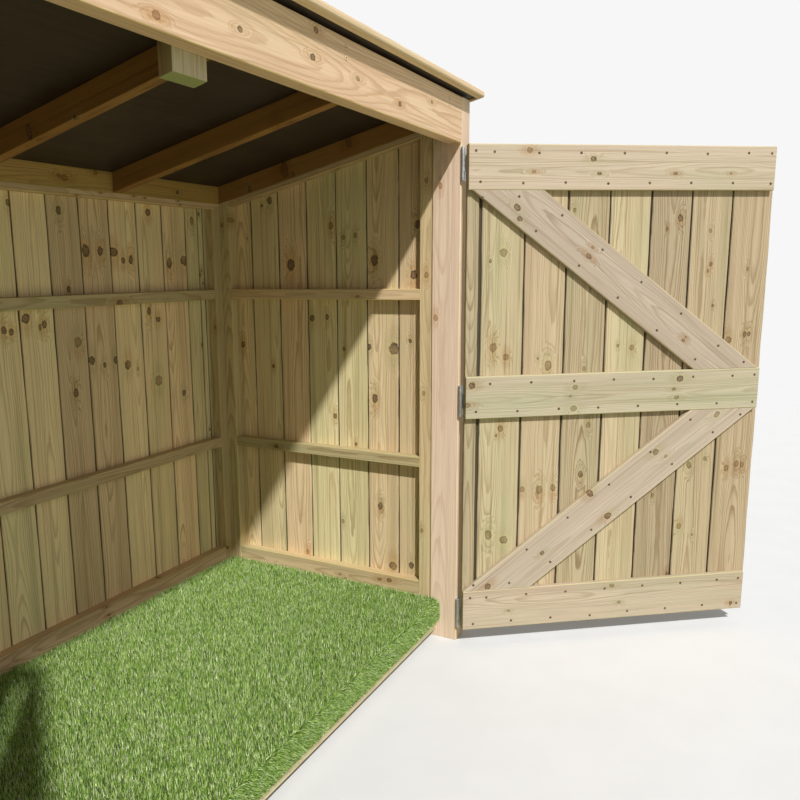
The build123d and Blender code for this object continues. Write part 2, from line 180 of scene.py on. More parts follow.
def nearest_knot(wood, grain, heart_way, place_round, carved):
    """How far away the nearest knot is in its own radii, and the same with the knots drawn out along the
    grain. Knots run out from the heart: a carved timber carries its own in attributes, and a CAD piece has
    them strewn along and round its log."""
    if carved:
        nearest = feather = FAR_AWAY
        for number in range(KNOTS_SHOWN):
            apart = wood.vector("SUBTRACT", place_round, wood.attribute(f"knot_{number}"))
            on, turn, radius = wood.parts(apart)
            lengthways = wood.math("DIVIDE", on, radius)
            lengthways = wood.times(lengthways, lengthways)
            sideways = wood.math("DIVIDE", wood.times(turn, heart_way), radius)
            sideways = wood.times(sideways, sideways)
            reach = wood.scaled(lengthways, KNOT_STRETCH ** 2, sideways)
            drawn_out = wood.scaled(lengthways, FEATHER_STRETCH ** 2, sideways)
            nearest = wood.math("MINIMUM", nearest, reach)
            feather = wood.math("MINIMUM", feather, drawn_out)
        nearest = wood.math("SQRT", nearest)
        feather = wood.math("SQRT", feather)
    else:
        along, turn, _ = wood.parts(place_round)
        strewn = wood.combined(along, wood.times(turn, HEART_TURN), 0.0)
        cells = wood.node("ShaderNodeTexVoronoi", {"Vector": strewn, "Scale": KNOT_CELLS},
                          voronoi_dimensions="2D")
        chance, girth, _ = wood.parts(cells["Color"])
        radius = wood.fade(girth, 0.0, 1.0, *KNOT_SIZES)
        missing = wood.times(wood.math("GREATER_THAN", chance, KNOTTY_CELLS), FAR_AWAY)
        reach = wood.math("DIVIDE", cells["Distance"], KNOT_CELLS)
        nearest = feather = wood.plus(wood.math("DIVIDE", reach, radius), missing)
    ragged = wood.about_zero(wood.noise(grain, KNOT_RAGGED_PACE), 1.0)
    return wood.plus(nearest, ragged), wood.plus(feather, ragged)


KNOT_EDGE = (1.10, 0.86)
RIM_OUTSIDE = (1.28, 1.04)
RIM_INSIDE = (0.72, 0.96)
HALO_OUTSIDE = (2.20, 1.55)
HALO_INSIDE = (1.10, 1.35)
FEATHER_EDGE = (3.0, 0.9)

RING_SPACING = 0.0031
WANDER_STREAKS = ((1.2, 5.0, 5.0), 1.0)
RIPPLE_STREAKS = ((11.0, 60.0, 60.0), 2.0)
RING_WANDER = 0.044
RING_RIPPLE = 0.0022
RING_PARTING = 0.0085
LATE_STARTS = (0.42, 0.90)
LATE_ENDS = (1.0, 0.92)
GOOD_YEAR_PACE = 0.45
GOOD_YEARS = (0.28, 0.68, 0.30, 1.0)
FIGURE_SHOWS = (0.0, 1.0, 0.55, 1.0)

FIBRES = ((5.0, 250.0, 250.0), 4.0, 0.65)
BANDS = ((0.6, 24.0, 24.0), 3.0)
CLOUDS = ((2.2, 9.0, 9.0), 3.0)
LINES = ((1.0, 120.0, 120.0), 3.0, 0.6)
BANDS_DARKEN = (0.42, 0.72, 0.0, 0.34)
LINES_DARKEN = (0.52, 0.70, 0.0, 0.65)
FIBRES_LIGHTEN = (0.50, 0.75)
PIECE_LIGHTNESS = (0.0, 1.0, 0.78, 1.14)
GRAIN_ROUGHNESS = (-0.12, 0.70)
FIBRE_DEPTH = 0.0007

CLOUD_WEIGHT = 0.8
ROSY_TO_GREENISH = (0.35, 1.35)
ROSY_TINT = (1.05, 0.97, 0.93)
GREENISH_TINT = (0.94, 1.0, 0.88)
GREEN_SALT = (0.36, 0.47, 0.25)
SALT_STRENGTH = 0.5
SALT_SOAKS = (0.96, 1.30)
SALT_ROUND_KNOTS = 0.8
KNOT_STAIN_PACE = 3.1
KNOT_STAINED = (0.46, 0.54)

BROWNED_TINT = (0.76, 0.60, 0.44)
BROWNED_SHARE = (-0.35, 0.60)
HALO_TINT = (1.12, 1.12, 1.02)
HALO_SHARE = 0.6
SOUND_PACE = 7.0
SOUND_KNOTS = (0.42, 0.52)
KNOT_TINT = (0.64, 0.54, 0.42)
KNOT_DARK = (0.110, 0.055, 0.024)
KNOT_BROWN = (0.27, 0.165, 0.075)
KNOT_FLECK_PACE = 240.0
KNOT_FLECKS = (0.40, 0.60)
KNOT_COVER = 0.85
KNOT_RIM = (0.060, 0.034, 0.018)
RIM_SHARE = (-0.30, 0.80)

ARRIS_HIGHLIGHT_TINT = (1.12, 1.17, 0.90)
ARRIS_HIGHLIGHT_SHARE = 0.9
END_GREEN = (0.74, 0.84, 0.62)
END_SHARE = 0.8
JOINT_DIRT_AND_SHADE = (0.035, 0.024, 0.012)
JOINT_SHADE_SHARE = 0.92


def pine(name, colours, green=0.6, run=None, heart=(0.0, 0.03, 0.05), tone=(0.5, 0.5, 0.5), dead_knots=0.0,
         spacing=RING_SPACING):
    """Treated softwood, in the colours of its pale early wood and its dark late wood. The log's own
    coordinates, along the grain and across from its heart, come from the timbers' "grain" attribute, or for
    a CAD piece that runs along one axis, from Object coordinates. Tone says how light the piece is, how
    strong its figure and how green it has stayed, and dead_knots raises the share of dark, dead knots."""
    pale, dark = colours
    wood = Finish(name)
    if run is None:
        grain = wood.attribute("grain")
        lightness, figure, stain = wood.parts(wood.attribute("tone"))
    else:
        place = wood.parts(wood.object_place())
        order = {"X": (0, 1, 2), "Y": (1, 0, 2)}[run]
        grain = wood.vector("ADD", wood.combined(*[place[index] for index in order]), heart)
        lightness, figure, stain = tone
    along, across, deep = wood.parts(grain)
    heart_way = wood.length(wood.combined(0.0, across, deep))
    place_round = wood.combined(along, wood.math("ARCTAN2", across, deep), 0.0)
    from_knot, from_feather = nearest_knot(wood, grain, heart_way, place_round, run is None)
    knot = wood.fade(from_knot, *KNOT_EDGE)
    rim = wood.times(wood.fade(from_knot, *RIM_OUTSIDE), wood.fade(from_knot, *RIM_INSIDE))
    halo = wood.times(wood.fade(from_knot, *HALO_OUTSIDE), wood.fade(from_knot, *HALO_INSIDE))
    feather = wood.fade(from_feather, *FEATHER_EDGE)

    # growth rings, which wander along the log and part round the knots
    wander = wood.about_zero(wood.streaks(grain, *WANDER_STREAKS), RING_WANDER)
    ripple = wood.about_zero(wood.streaks(grain, *RIPPLE_STREAKS), RING_RIPPLE)
    shifts = wood.plus(wander, ripple, wood.times(feather, RING_PARTING))
    rings = wood.math("DIVIDE", wood.plus(heart_way, shifts), spacing)
    year = wood.math("FRACT", rings)
    late = wood.times(wood.fade(year, *LATE_STARTS), wood.fade(year, *LATE_ENDS),
                      wood.fade(wood.patches(rings, GOOD_YEAR_PACE), *GOOD_YEARS),
                      wood.fade(figure, *FIGURE_SHOWS))

    fibres, bands, clouds, lines = [wood.streaks(grain, *kind) for kind in (FIBRES, BANDS, CLOUDS, LINES)]
    colour = wood.mix(late, pale, dark)
    colour = wood.mix(wood.fade(bands, *BANDS_DARKEN), colour, dark)
    colour = wood.mix(wood.fade(lines, *LINES_DARKEN), colour, dark)
    cloudy = wood.fade(wood.scaled(clouds, CLOUD_WEIGHT, stain), *ROSY_TO_GREENISH)
    colour = wood.tinted(1.0, colour, wood.mix(cloudy, ROSY_TINT, GREENISH_TINT))

    # the treatment's green salt, which stays in streaks and round some of the knots
    stained = wood.fade(wood.patches(along, KNOT_STAIN_PACE), *KNOT_STAINED)
    soaked = wood.math("MAXIMUM", wood.times(wood.fade(wood.plus(clouds, bands), *SALT_SOAKS), stain),
                       wood.times(feather, stained, SALT_ROUND_KNOTS))
    colour = wood.mix(wood.times(soaked, green), colour, wood.mix(SALT_STRENGTH, colour, GREEN_SALT))

    # knots: the grain round them is browned, a pale ring lies outside their rim, and some of them are dead
    colour = wood.tinted(wood.times(feather, wood.scaled(stained, *BROWNED_SHARE)), colour, BROWNED_TINT)
    colour = wood.tinted(wood.times(halo, HALO_SHARE), colour, HALO_TINT)
    sound = wood.fade(wood.noise(grain, SOUND_PACE), *[level + dead_knots for level in SOUND_KNOTS])
    dead = wood.mix(wood.fade(wood.noise(grain, KNOT_FLECK_PACE), *KNOT_FLECKS), KNOT_DARK, KNOT_BROWN)
    heartwood = wood.mix(sound, dead, wood.tinted(1.0, colour, KNOT_TINT))
    colour = wood.mix(wood.times(knot, KNOT_COVER), colour, heartwood)
    colour = wood.mix(wood.times(rim, wood.scaled(sound, *RIM_SHARE)), colour, KNOT_RIM)

    light = wood.times(wood.scaled(fibres, *FIBRES_LIGHTEN), wood.fade(lightness, *PIECE_LIGHTNESS))
    colour = wood.tinted(1.0, colour, wood.combined(light, light, light))
    if run is None:
        in_joint, on_end, on_arris = wood.parts(wood.attribute("cover"))
        # painted highlight: arrises are lightened and yellowed as if they caught the light, partly standing
        # for worn edges
        colour = wood.tinted(wood.times(on_arris, ARRIS_HIGHLIGHT_SHARE), colour, ARRIS_HIGHLIGHT_TINT)
        colour = wood.tinted(wood.times(on_end, END_SHARE), colour, END_GREEN)
        # painted shade and dirt: wood that lies in a joint is darkened nearly to black, and the arrises
        # beside it half as much
        colour = wood.mix(wood.times(in_joint, JOINT_SHADE_SHARE), colour, JOINT_DIRT_AND_SHADE)
    wood.colour = colour
    wood.paint(Base_Color=colour, Roughness=wood.scaled(late, *GRAIN_ROUGHNESS))
    wood.bump(fibres, FIBRE_DEPTH)
    return wood


def dressed(names, finish):
    """Gives kept CAD pieces their finish."""
    for name in names:
        for slot in nodes[name].material_slots:
            slot.material = finish.material


SAWN_WOOD = ((0.42, 0.33, 0.18), (0.25, 0.175, 0.080))
dressed(["ground_bearers", "floor_back_rim"], pine("sawn_lengthways", SAWN_WOOD, run="X"))
dressed(["floor_joists"], pine("sawn_front_to_back", SAWN_WOOD, run="Y", heart=(3.0, 0.02, 0.06)))


# Floor deck and fascia: a sheet of sheathing ply on the joists, closed at the front by a planed board
# The sheet's edges and the fascia sit behind the turf's folded front, and the fascia's foot shows under it
DECK_PLY = ((0.42, 0.30, 0.16), (0.27, 0.175, 0.085))
FASCIA_WOOD = ((0.88, 0.76, 0.56), (0.66, 0.52, 0.34))
dressed(["floor_deck"], pine("deck_ply", DECK_PLY, run="X", heart=(7.0, 0.10, 0.20)))
dressed(["floor_fascia"], pine("fascia_board", FASCIA_WOOD, run="X", heart=(11.0, 0.04, 0.03)))


# Turf: artificial grass with a woven backing, laid on the deck and folded down over its front edge
# Narrow bent blades in mixed greens stand on the backing, thick enough to hide it; the palest blades are
# painted glints, and each blade is painted darker towards its root as painted shade in the pile
BLADE_WIDTH = 0.0015
BLADE_BEND = 0.35
BLADE_GROWTH = (0.72, 1.05)
BLADE_MERGE = 0.00001
BLADE_ROOT_IN_SHADE = (0.040, 0.085, 0.014)
BLADE_ROOT_SHADE = (0.0, 0.7, 0.62, 0.0)
BLADE_RIBS = 900.0
BLADE_RIB_DEPTH = 0.0003
# the palest, nearly white stop is painted glint: blades that stand for sunlit highlights
BLADE_GREENS_AND_GLINTS = ((0.0, (0.09, 0.20, 0.025)), (0.45, (0.30, 0.51, 0.070)), (0.78, (0.60, 0.80, 0.21)),
                (0.93, (0.95, 1.00, 0.66)))


class Growth(NodeSheet):
    """A geometry tree with named inputs after its geometry."""

    def __init__(self, name, **inputs):
        tree = bpy.data.node_groups.new(name, "GeometryNodeTree")
        for label, kind in {"Geometry": "Geometry", **inputs}.items():
            tree.interface.new_socket(label, in_out="INPUT", socket_type="NodeSocket" + kind)
        tree.interface.new_socket("Geometry", in_out="OUTPUT", socket_type="NodeSocketGeometry")
        super().__init__(tree)
        self.given = self.node("NodeGroupInput")

    def drawn(self, low, high, seed):
        feeds = {"Min": low, "Max": high, "Seed": seed}
        return self.node("FunctionNodeRandomValue", feeds, data_type="FLOAT")[1]

    def turned(self, rotation, *angles):
        by = self.node("FunctionNodeEulerToRotation", {0: self.combined(*angles)})[0]
        return self.node("FunctionNodeRotateRotation", {0: rotation, 1: by}, rotation_space="LOCAL")[0]

    def noted(self, geometry, label, value, domain):
        feeds = {"Geometry": geometry, "Name": label, "Value": value}
        return self.node("GeometryNodeStoreNamedAttribute", feeds, data_type="FLOAT", domain=domain)[0]

    def strewn(self, points, shape, aim, size):
        """Stands a copy of a shape on each point."""
        feeds = {"Points": points, "Instance": shape, "Rotation": aim,
                 "Scale": self.combined(size, size, size)}
        return self.node("GeometryNodeInstanceOnPoints", feeds)[0]

    def finished(self, copies):
        """Ends the tree with plain geometry in the given finish."""
        real = self.node("GeometryNodeRealizeInstances", {"Geometry": copies})[0]
        feeds = {"Geometry": real, "Material": self.given["Finish"]}
        self.node("NodeGroupOutput", {0: self.node("GeometryNodeSetMaterial", feeds)[0]})


def in_scene(name, data):
    """A new object at the scene's origin."""
    thing = bpy.data.objects.new(name, data)
    bpy.context.scene.collection.objects.link(thing)
    return thing


def made_by(tree, base, name, values):
    """Runs a geometry tree on a mesh and keeps the result as a plain mesh object."""
    carrier = in_scene(name + "_base", base)
    modifier = carrier.modifiers.new("making", "NODES")
    modifier.node_group = tree
    for item in tree.interface.items_tree:
        if item.item_type == "SOCKET" and item.in_out == "INPUT" and item.name in values:
            modifier[item.identifier] = values[item.name]
    carrier.update_tag()
    evaluated = carrier.evaluated_get(bpy.context.evaluated_depsgraph_get())
    mesh = bpy.data.meshes.new_from_object(evaluated)
    carrier.modifiers.remove(modifier)
    bpy.data.objects.remove(carrier)
    return in_scene(name, mesh)


def turf_blades():
    """Blades at random on a surface: each a tapering strip that bends over as it rises."""
    growth = Growth("turf_blades", Blades="Float", Height="Float", Width="Float", Lean="Float",
                    Finish="Material", Seed="Int")
    given = growth.given
    strip = growth.node("GeometryNodeMeshGrid",
                        {"Size X": 1.0, "Size Y": 1.0, "Vertices X": 2, "Vertices Y": 3})
    x, y, _ = growth.parts(growth.node("GeometryNodeInputPosition")[0])
    rise = growth.plus(y, 0.5)
    squared = growth.times(rise, rise)
    side = growth.times(x, given["Width"], growth.math("SUBTRACT", 1.0, squared))
    bend = growth.times(squared, growth.times(given["Height"], BLADE_BEND))
    place = growth.combined(side, bend, growth.times(rise, given["Height"]))
    blade = growth.node("GeometryNodeSetPosition", {"Geometry": strip[0], "Position": place})[0]
    blade = growth.noted(blade, "rise", rise, "POINT")
    blade = growth.node("GeometryNodeMergeByDistance", {"Geometry": blade, "Distance": BLADE_MERGE})[0]

    points = growth.node("GeometryNodeDistributePointsOnFaces",
                         {"Mesh": given["Geometry"], "Density": given["Blades"], "Seed": given["Seed"]})
    aim = growth.turned(points["Rotation"], 0.0, 0.0, growth.drawn(0.0, 2 * math.pi, seed=4))
    aim = growth.turned(aim, growth.drawn(0.0, given["Lean"], seed=3), 0.0, 0.0)
    size = growth.drawn(*BLADE_GROWTH, seed=5)
    standing = growth.strewn(points["Points"], blade, aim, size)
    growth.finished(growth.noted(standing, "shade", growth.drawn(0.0, 1.0, seed=6), "INSTANCE"))
    return growth.tree


def turf_finish():
    turf = Finish("turf_blade", Roughness=0.38)
    green = turf.node("ShaderNodeValToRGB", {0: turf.attribute("shade", "Fac")})[0]
    stops = green.node.color_ramp.elements
    stops.remove(stops[1])
    for number, (position, colour) in enumerate(BLADE_GREENS_AND_GLINTS):
        stop = stops[0] if number == 0 else stops.new(position)
        stop.position = position
        stop.color = opaque(colour)
    # painted shade: each blade darkens towards its root, for the shade deep in the pile
    root_shade = turf.fade(turf.attribute("rise", "Fac"), *BLADE_ROOT_SHADE)
    turf.paint(Base_Color=turf.mix(root_shade, green, BLADE_ROOT_IN_SHADE))
    turf.bump(turf.noise(turf.object_place(), BLADE_RIBS), BLADE_RIB_DEPTH)
    return turf.material


def plain_mesh(name, points, faces):
    mesh = bpy.data.meshes.new(name)
    mesh.from_pydata([tuple(point) for point in points], [], faces)
    mesh.validate()
    return mesh


def marked(mesh, label, values):
    """Writes a number or a vector on each point of a mesh."""
    values = np.array(values, dtype=np.float32)
    kind, field = ("FLOAT", "value") if values.ndim == 1 else ("FLOAT_VECTOR", "vector")
    mesh.attributes.new(label, kind, "POINT").data.foreach_set(field, values.ravel())


def shown(name, mesh, finish):
    """A mesh set in the scene with one finish."""
    mesh.materials.append(finish.material)
    return in_scene(name, mesh)


TURF_BACKING = 0.007
NOSE_STEPS = 6
turf_low, turf_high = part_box("floor_turf")
fold_low, fold_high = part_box("turf_front_fold")
_, post_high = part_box("right_front_post")
step_x = fold_high.x
step_y = post_high.y
mat_top = turf_low.z + TURF_BACKING
fold_face = turf_low.y - TURF_BACKING
mat_outline = [(-step_x, turf_low.y), (step_x, turf_low.y), (step_x, step_y), (turf_high.x, step_y),
               (turf_high.x, turf_high.y), (-turf_high.x, turf_high.y), (-turf_high.x, step_y),
               (-step_x, step_y)]
nose_turns = [math.radians(90 * step / NOSE_STEPS) for step in range(NOSE_STEPS + 1)]
nose = [(turf_low.y - TURF_BACKING * math.sin(turn), turf_low.z + TURF_BACKING * math.cos(turn))
        for turn in nose_turns]
folded = nose[1:] + [(fold_face, fold_low.z), (turf_low.y, fold_low.z)]

corners = len(mat_outline)
first_left = 2 * corners
first_right = first_left + len(folded)
mat_points = [(x, y, z) for z in (mat_top, turf_low.z) for x, y in mat_outline]
mat_points += [(x, y, z) for x in (-step_x, step_x) for y, z in folded]
mat_faces = [tuple(range(corners)), tuple(reversed(range(corners, 2 * corners)))]
for index in range(1, corners):
    following = (index + 1) % corners
    mat_faces.append((corners + index, corners + following, following, index))
left_chain = [0, *range(first_left, first_right), corners]
right_chain = [1, *range(first_right, first_right + len(folded)), corners + 1]
for index in range(len(left_chain) - 1):
    mat_faces.append((left_chain[index], left_chain[index + 1], right_chain[index + 1], right_chain[index]))
mat_faces += [tuple(reversed(left_chain)), tuple(right_chain)]

WEAVE_PACE = 420.0
WEAVE_SHOWS = (0.35, 0.65)
WEAVE_DEPTH = 0.0006
WEAVE_DARK = (0.030, 0.055, 0.014)
WEAVE_PALE = (0.085, 0.110, 0.035)
weave = Finish("turf_backing_weave", Roughness=0.85)
threads = weave.noise(weave.object_place(), WEAVE_PACE, detail=1.0)
weave.paint(Base_Color=weave.mix(weave.fade(threads, *WEAVE_SHOWS), WEAVE_DARK, WEAVE_PALE))
weave.bump(threads, WEAVE_DEPTH)
backing = shown("turf_backing", plain_mesh("turf_backing", mat_points, mat_faces), weave)
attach(backing, "shelter")
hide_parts("floor_turf", "turf_front_fold")

TURF_BREADTHS = 4
TURF_BLADES = 56000
FOLD_BLADES = 50000
PILE_HEIGHT = 0.016
FOLD_PILE_HEIGHT = 0.014
BLADE_LEAN = 1.0
FOLD_BLADE_LEAN = 1.1
PILE_MARGIN = 0.004
FOLD_MARGIN = 0.009
blades = turf_blades()
blade_finish = turf_finish()
piles = []


def grown(name, ground, node, blades_a_metre, height, lean):
    """A pile of blades on a piece of ground, in place of the CAD piece that it stands for."""
    values = {"Blades": blades_a_metre, "Height": height, "Width": BLADE_WIDTH, "Lean": lean,
              "Finish": blade_finish, "Seed": len(piles) + 1}
    pile = made_by(blades, ground, name, values)
    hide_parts(node)
    piles.append(pile)


breadth = 2 * step_x / TURF_BREADTHS
back_y = turf_high.y - PILE_MARGIN
for number in range(TURF_BREADTHS):
    inner_x = number * breadth - step_x
    outer_x = inner_x + breadth
    name = f"turf_pile_{number + 1}"
    ground_corners = [(inner_x, turf_low.y, mat_top), (outer_x, turf_low.y, mat_top),
                      (outer_x, back_y, mat_top), (inner_x, back_y, mat_top)]
    ground = plain_mesh(name + "_ground", ground_corners, [(0, 1, 2, 3)])
    grown(name, ground, "floor_turf", TURF_BLADES / (breadth * (back_y - turf_low.y)), PILE_HEIGHT,
          BLADE_LEAN)

slope = nose + [(fold_face, fold_low.z + FOLD_MARGIN)]
slope_points = [(x, y, z) for x in (-step_x, step_x) for y, z in slope]
slope_faces = [(index, index + 1, len(slope) + index + 1, len(slope) + index)
               for index in range(len(slope) - 1)]
grown("fold_turf_pile", plain_mesh("fold_ground", slope_points, slope_faces), "turf_front_fold",
      FOLD_BLADES / (2 * step_x * (mat_top - fold_low.z)), FOLD_PILE_HEIGHT, FOLD_BLADE_LEAN)
for pile in piles:
    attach(pile, "shelter")


# Front frame: two posts with the header let in between them, all planed softwood with eased arrises
# The header lies flush with the posts' faces; screws through it hold the rafters' ends
ARRIS_STEPS = 3
END_EASE = 0.0008
FRAME_ARRIS = 0.004
HEART_DEPTH = (0.030, 0.085)
HEART_ASIDE = 0.3
LOG_LENGTH = 60.0
LOG_LEAN = 0.006
SWAY_PACES = (5.3, 11.9, 29.0)
KNOTS_A_METRE = 3.2
KNOT_SHARE = 0.72
KNOT_CLEAR_OF_END = 0.03
KNOTS_INSIDE = 0.42
KNOT_BREADTH = 0.14
WHORL_SHARE = 0.4
WHORL_REACH = 0.018
NO_KNOT = (-99.0, 0.0, 0.001)


IN_JOINT = 1.0
BY_JOINT = 0.5
IN_SIGHT = 0.0
ON_ARRIS = -1.0


def eased(corners, arris):
    """A convex section, listed anticlockwise, with its corners rounded off. Each point of a section also
    says whether it lies hidden in a joint or on an arris."""
    corners = np.array([(*corner, 0.0) for corner in corners])
    points = []
    for index, corner in enumerate(corners):
        before = corners[index - 1] - corner
        after = corners[(index + 1) % len(corners)] - corner
        start = corner + arris * before / np.linalg.norm(before)
        end = corner + arris * after / np.linalg.norm(after)
        for share in np.linspace(0, 1, ARRIS_STEPS + 1):
            point = (1 - share) ** 2 * start + 2 * share * (1 - share) * corner + share ** 2 * end
            points.append((point[0], point[1], ON_ARRIS if 0 < share < 1 else IN_SIGHT))
    return points


def rounded(width, thickness, arris):
    """The section of a planed timber."""
    side, face = width / 2, thickness / 2
    return eased([(side, face), (-side, face), (-side, -face), (side, -face)], arris)


def joined_rings(count, rings):
    """The faces between rings of count points each, numbered one ring after another."""
    return [(first + index, first + following, first + count + following, first + count + index)
            for first in range(0, count * (rings - 1), count)
            for index, following in zip(range(count), [*range(1, count), 0])]


def timber(start, end, across, section, seed, start_cut=(0.0, 0.0), end_cut=(0.0, 0.0), waney=0.0,
           stations=2, tone=None, knots=None, hidden=0.0):
    """One sawn piece from start to end, its ends cut at the given slopes across its width and thickness.
    Knots are places on it, each with a radius; without them it gets some of its own. Returns its points and
    faces, and the marks that its finish reads."""
    lot = np.random.default_rng(seed)
    start = np.array(start, dtype=float)
    run = np.array(end, dtype=float) - start
    length = float(np.linalg.norm(run))
    along = run / length
    axes = np.array((along, across, np.cross(along, across)))
    section = np.array(section)
    covered = np.maximum(section[:, 2], hidden)
    on_arris = np.maximum(-section[:, 2], 0)
    section = section[:, :2]
    width, thickness = np.ptp(section, axis=0)
    heart = (lot.uniform(-HEART_ASIDE, HEART_ASIDE) * width, thickness / 2 + lot.uniform(*HEART_DEPTH))
    lean = lot.normal(0.0, LOG_LEAN, 2)
    log_start = lot.uniform(0.0, LOG_LENGTH)

    def in_log(places):
        reach, side, face = np.transpose(places)
        return np.column_stack((reach + log_start, side + heart[0] + lean[0] * reach,
                                face + heart[1] + lean[1] * reach))

    phases = lot.uniform(0, 2 * math.pi, (2, len(SWAY_PACES)))
    ease = END_EASE / length
    rings = []
    for share in [0.0, *np.linspace(ease, 1 - ease, stations), 1.0]:
        outline = section.copy()
        if share in (0.0, 1.0):
            outline *= 1 - 2 * END_EASE / np.array([width, thickness])
        distance = share * length
        for side in (0, 1):
            sway = sum(math.sin(distance * pace + phase) for pace, phase in zip(SWAY_PACES, phases[side]))
            outline[(outline[:, 0] > 0) == bool(side), 0] += waney * sway / len(SWAY_PACES)
        slant = (1 - share) * (outline @ np.array(start_cut)) + share * (outline @ np.array(end_cut))
        rings.append(np.column_stack((distance + slant, outline)))
    places = np.concatenate(rings)
    count = len(section)
    faces = [tuple(reversed(range(count))), tuple(range(len(places) - count, len(places))),
             *joined_rings(count, len(rings))]

    shades = lot.uniform(0, 1, 3)
    if knots is None:
        marks = []
        reach = 0.0
        for _ in range(min(KNOTS_SHOWN, lot.poisson(KNOTS_A_METRE * length))):
            if lot.random() < WHORL_SHARE and marks:
                reach += lot.normal(0, WHORL_REACH)
            else:
                reach = lot.uniform(KNOT_CLEAR_OF_END, length - KNOT_CLEAR_OF_END)
            marks.append((reach, lot.uniform(-KNOTS_INSIDE, KNOTS_INSIDE) * width,
                          lot.uniform(-0.5, 0.5) * thickness,
                          min(lot.uniform(*KNOT_SIZES), width * KNOT_BREADTH)))
    else:
        largest = sorted(knots, key=lambda knot: -knot[3])[:KNOTS_SHOWN]
        marks = [(*(axes @ (np.array(knot[:3]) - start)), knot[3] * KNOT_SHARE) for knot in largest]
    ends = np.zeros(len(places))
    ends[:count] = ends[-count:] = 1.0
    cover = np.column_stack((np.resize(covered, len(places)), ends, np.resize(on_arris, len(places))))
    marks_of = {"grain": in_log(places), "cover": cover, "tone": shades if tone is None else np.array(tone)}
    for number in range(KNOTS_SHOWN):
        mark = np.array(NO_KNOT)
        if number < len(marks):
            (reach, side, deep), = in_log([marks[number][:3]])
            mark = np.array((reach, math.atan2(side, deep), marks[number][3]))
        marks_of[f"knot_{number}"] = mark
    return places @ axes + start, faces, marks_of


def square(low, high, axis, seed, arris=FRAME_ARRIS, **options):
    """A timber that fills a box between two corners and runs along one of its axes."""
    low = np.array(low, dtype=float)
    high = np.array(high, dtype=float)
    run = "XYZ".index(axis)
    side = {"X": 2, "Y": 2, "Z": 1}[axis]
    face = 3 - run - side
    start = (low + high) / 2
    end = start.copy()
    start[run] = low[run]
    end[run] = high[run]
    section = rounded(high[side] - low[side], high[face] - low[face], arris)
    return timber(start, end, np.eye(3)[side], section, seed, **options)


def fitted(name, timbers, finish, node, slot="frame_timber", body="shelter", turned=None):
    """Joins timbers to one mesh, and fits it in place of the CAD piece that it stands for."""
    faces = []
    total = 0
    for corners, sides, _ in timbers:
        faces.extend(tuple(total + index for index in side) for side in sides)
        total += len(corners)
    mesh = plain_mesh(name, np.concatenate([corners for corners, _, _ in timbers]), faces)
    for label in timbers[0][2]:
        marked(mesh, label, np.concatenate([np.broadcast_to(marks[label], corners.shape)
                                            for corners, _, marks in timbers]))
    if turned is not None:
        mesh.transform(turned)
    piece = shown(name, mesh, finish)
    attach(piece, body)
    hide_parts(node)


def spotted(axes, level, *spots):
    """Knots measured along two axes on a flat face, as places in space."""
    placed = []
    for first, second, radius in spots:
        place = dict(zip(axes, (first, second)))
        placed.append((place.get("X", level), place.get("Y", level), place.get("Z", level), radius))
    return placed


HEADER_RINGS = 0.0042
POST_WOOD = ((0.86, 0.705, 0.56), (0.68, 0.505, 0.37))
HEADER_WOOD = ((0.86, 0.665, 0.465), (0.60, 0.385, 0.215))
POST_TONE = (0.55, 0.2, 0.1)
HEADER_TONE = (0.55, 0.5, 0.15)
post_pine = pine("post_timber", POST_WOOD, green=0.25)
frame_pine = pine("frame_timber", HEADER_WOOD, green=0.25, spacing=HEADER_RINGS)

header_low, header_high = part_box("header_beam")
_, edge_rafter_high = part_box("right_edge_rafter")
post_low, post_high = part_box("right_front_post")
post_slope = (edge_rafter_high.z - post_high.z) / (post_high.y - post_low.y)
post_knots = spotted("YZ", post_low.x, (-0.453, 1.573, 0.0085), (-0.439, 1.144, 0.0090))
for side, seed, knots in (("right", 11, post_knots), ("left", 12, None)):
    low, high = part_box(side + "_front_post")
    top_middle = Vector((high.x, high.y, high.z + post_slope * (high.y - low.y) / 2))
    post = square(low, top_middle, "Z", seed, end_cut=(post_slope, 0.0), knots=knots, tone=POST_TONE)
    fitted(side + "_post", [post], post_pine, side + "_front_post")
header_knots = spotted(
    "XZ", header_low.y, (0.183, 1.823, 0.0078), (0.168, 1.764, 0.009), (0.374, 1.759, 0.0078),
    (0.608, 1.741, 0.0084), (0.823, 1.783, 0.0072), (-0.325, 1.723, 0.009), (-0.095, 1.757, 0.0072),
    (-0.72, 1.80, 0.008))
header = square(header_low, header_high, "X", 21, knots=header_knots, tone=HEADER_TONE)
fitted("header", [header], frame_pine, "header_beam")

HEADER_SCREW_PLACES = (-0.958, -0.317, 0.317, 0.958)
HEADER_SCREW_HEIGHTS = (1.795, 1.817)
HEADER_SCREW_SIZE = 1.6
fixings = {"shelter": [], "right_door": [], "left_door": []}


def driven(body, places, facing, size=1.0, turned=None):
    """Notes screws or nails for a body: where their heads are, which way they face and how large they are."""
    facing = Vector(facing)
    for place in places:
        place = Vector(place)
        if turned is not None:
            place = turned @ place
        fixings[body].append((place, turned.to_3x3() @ facing if turned is not None else facing, size))


driven("shelter", [(x, header_low.y, z) for x in HEADER_SCREW_PLACES for z in HEADER_SCREW_HEIGHTS],
       (0, -1, 0), HEADER_SCREW_SIZE)


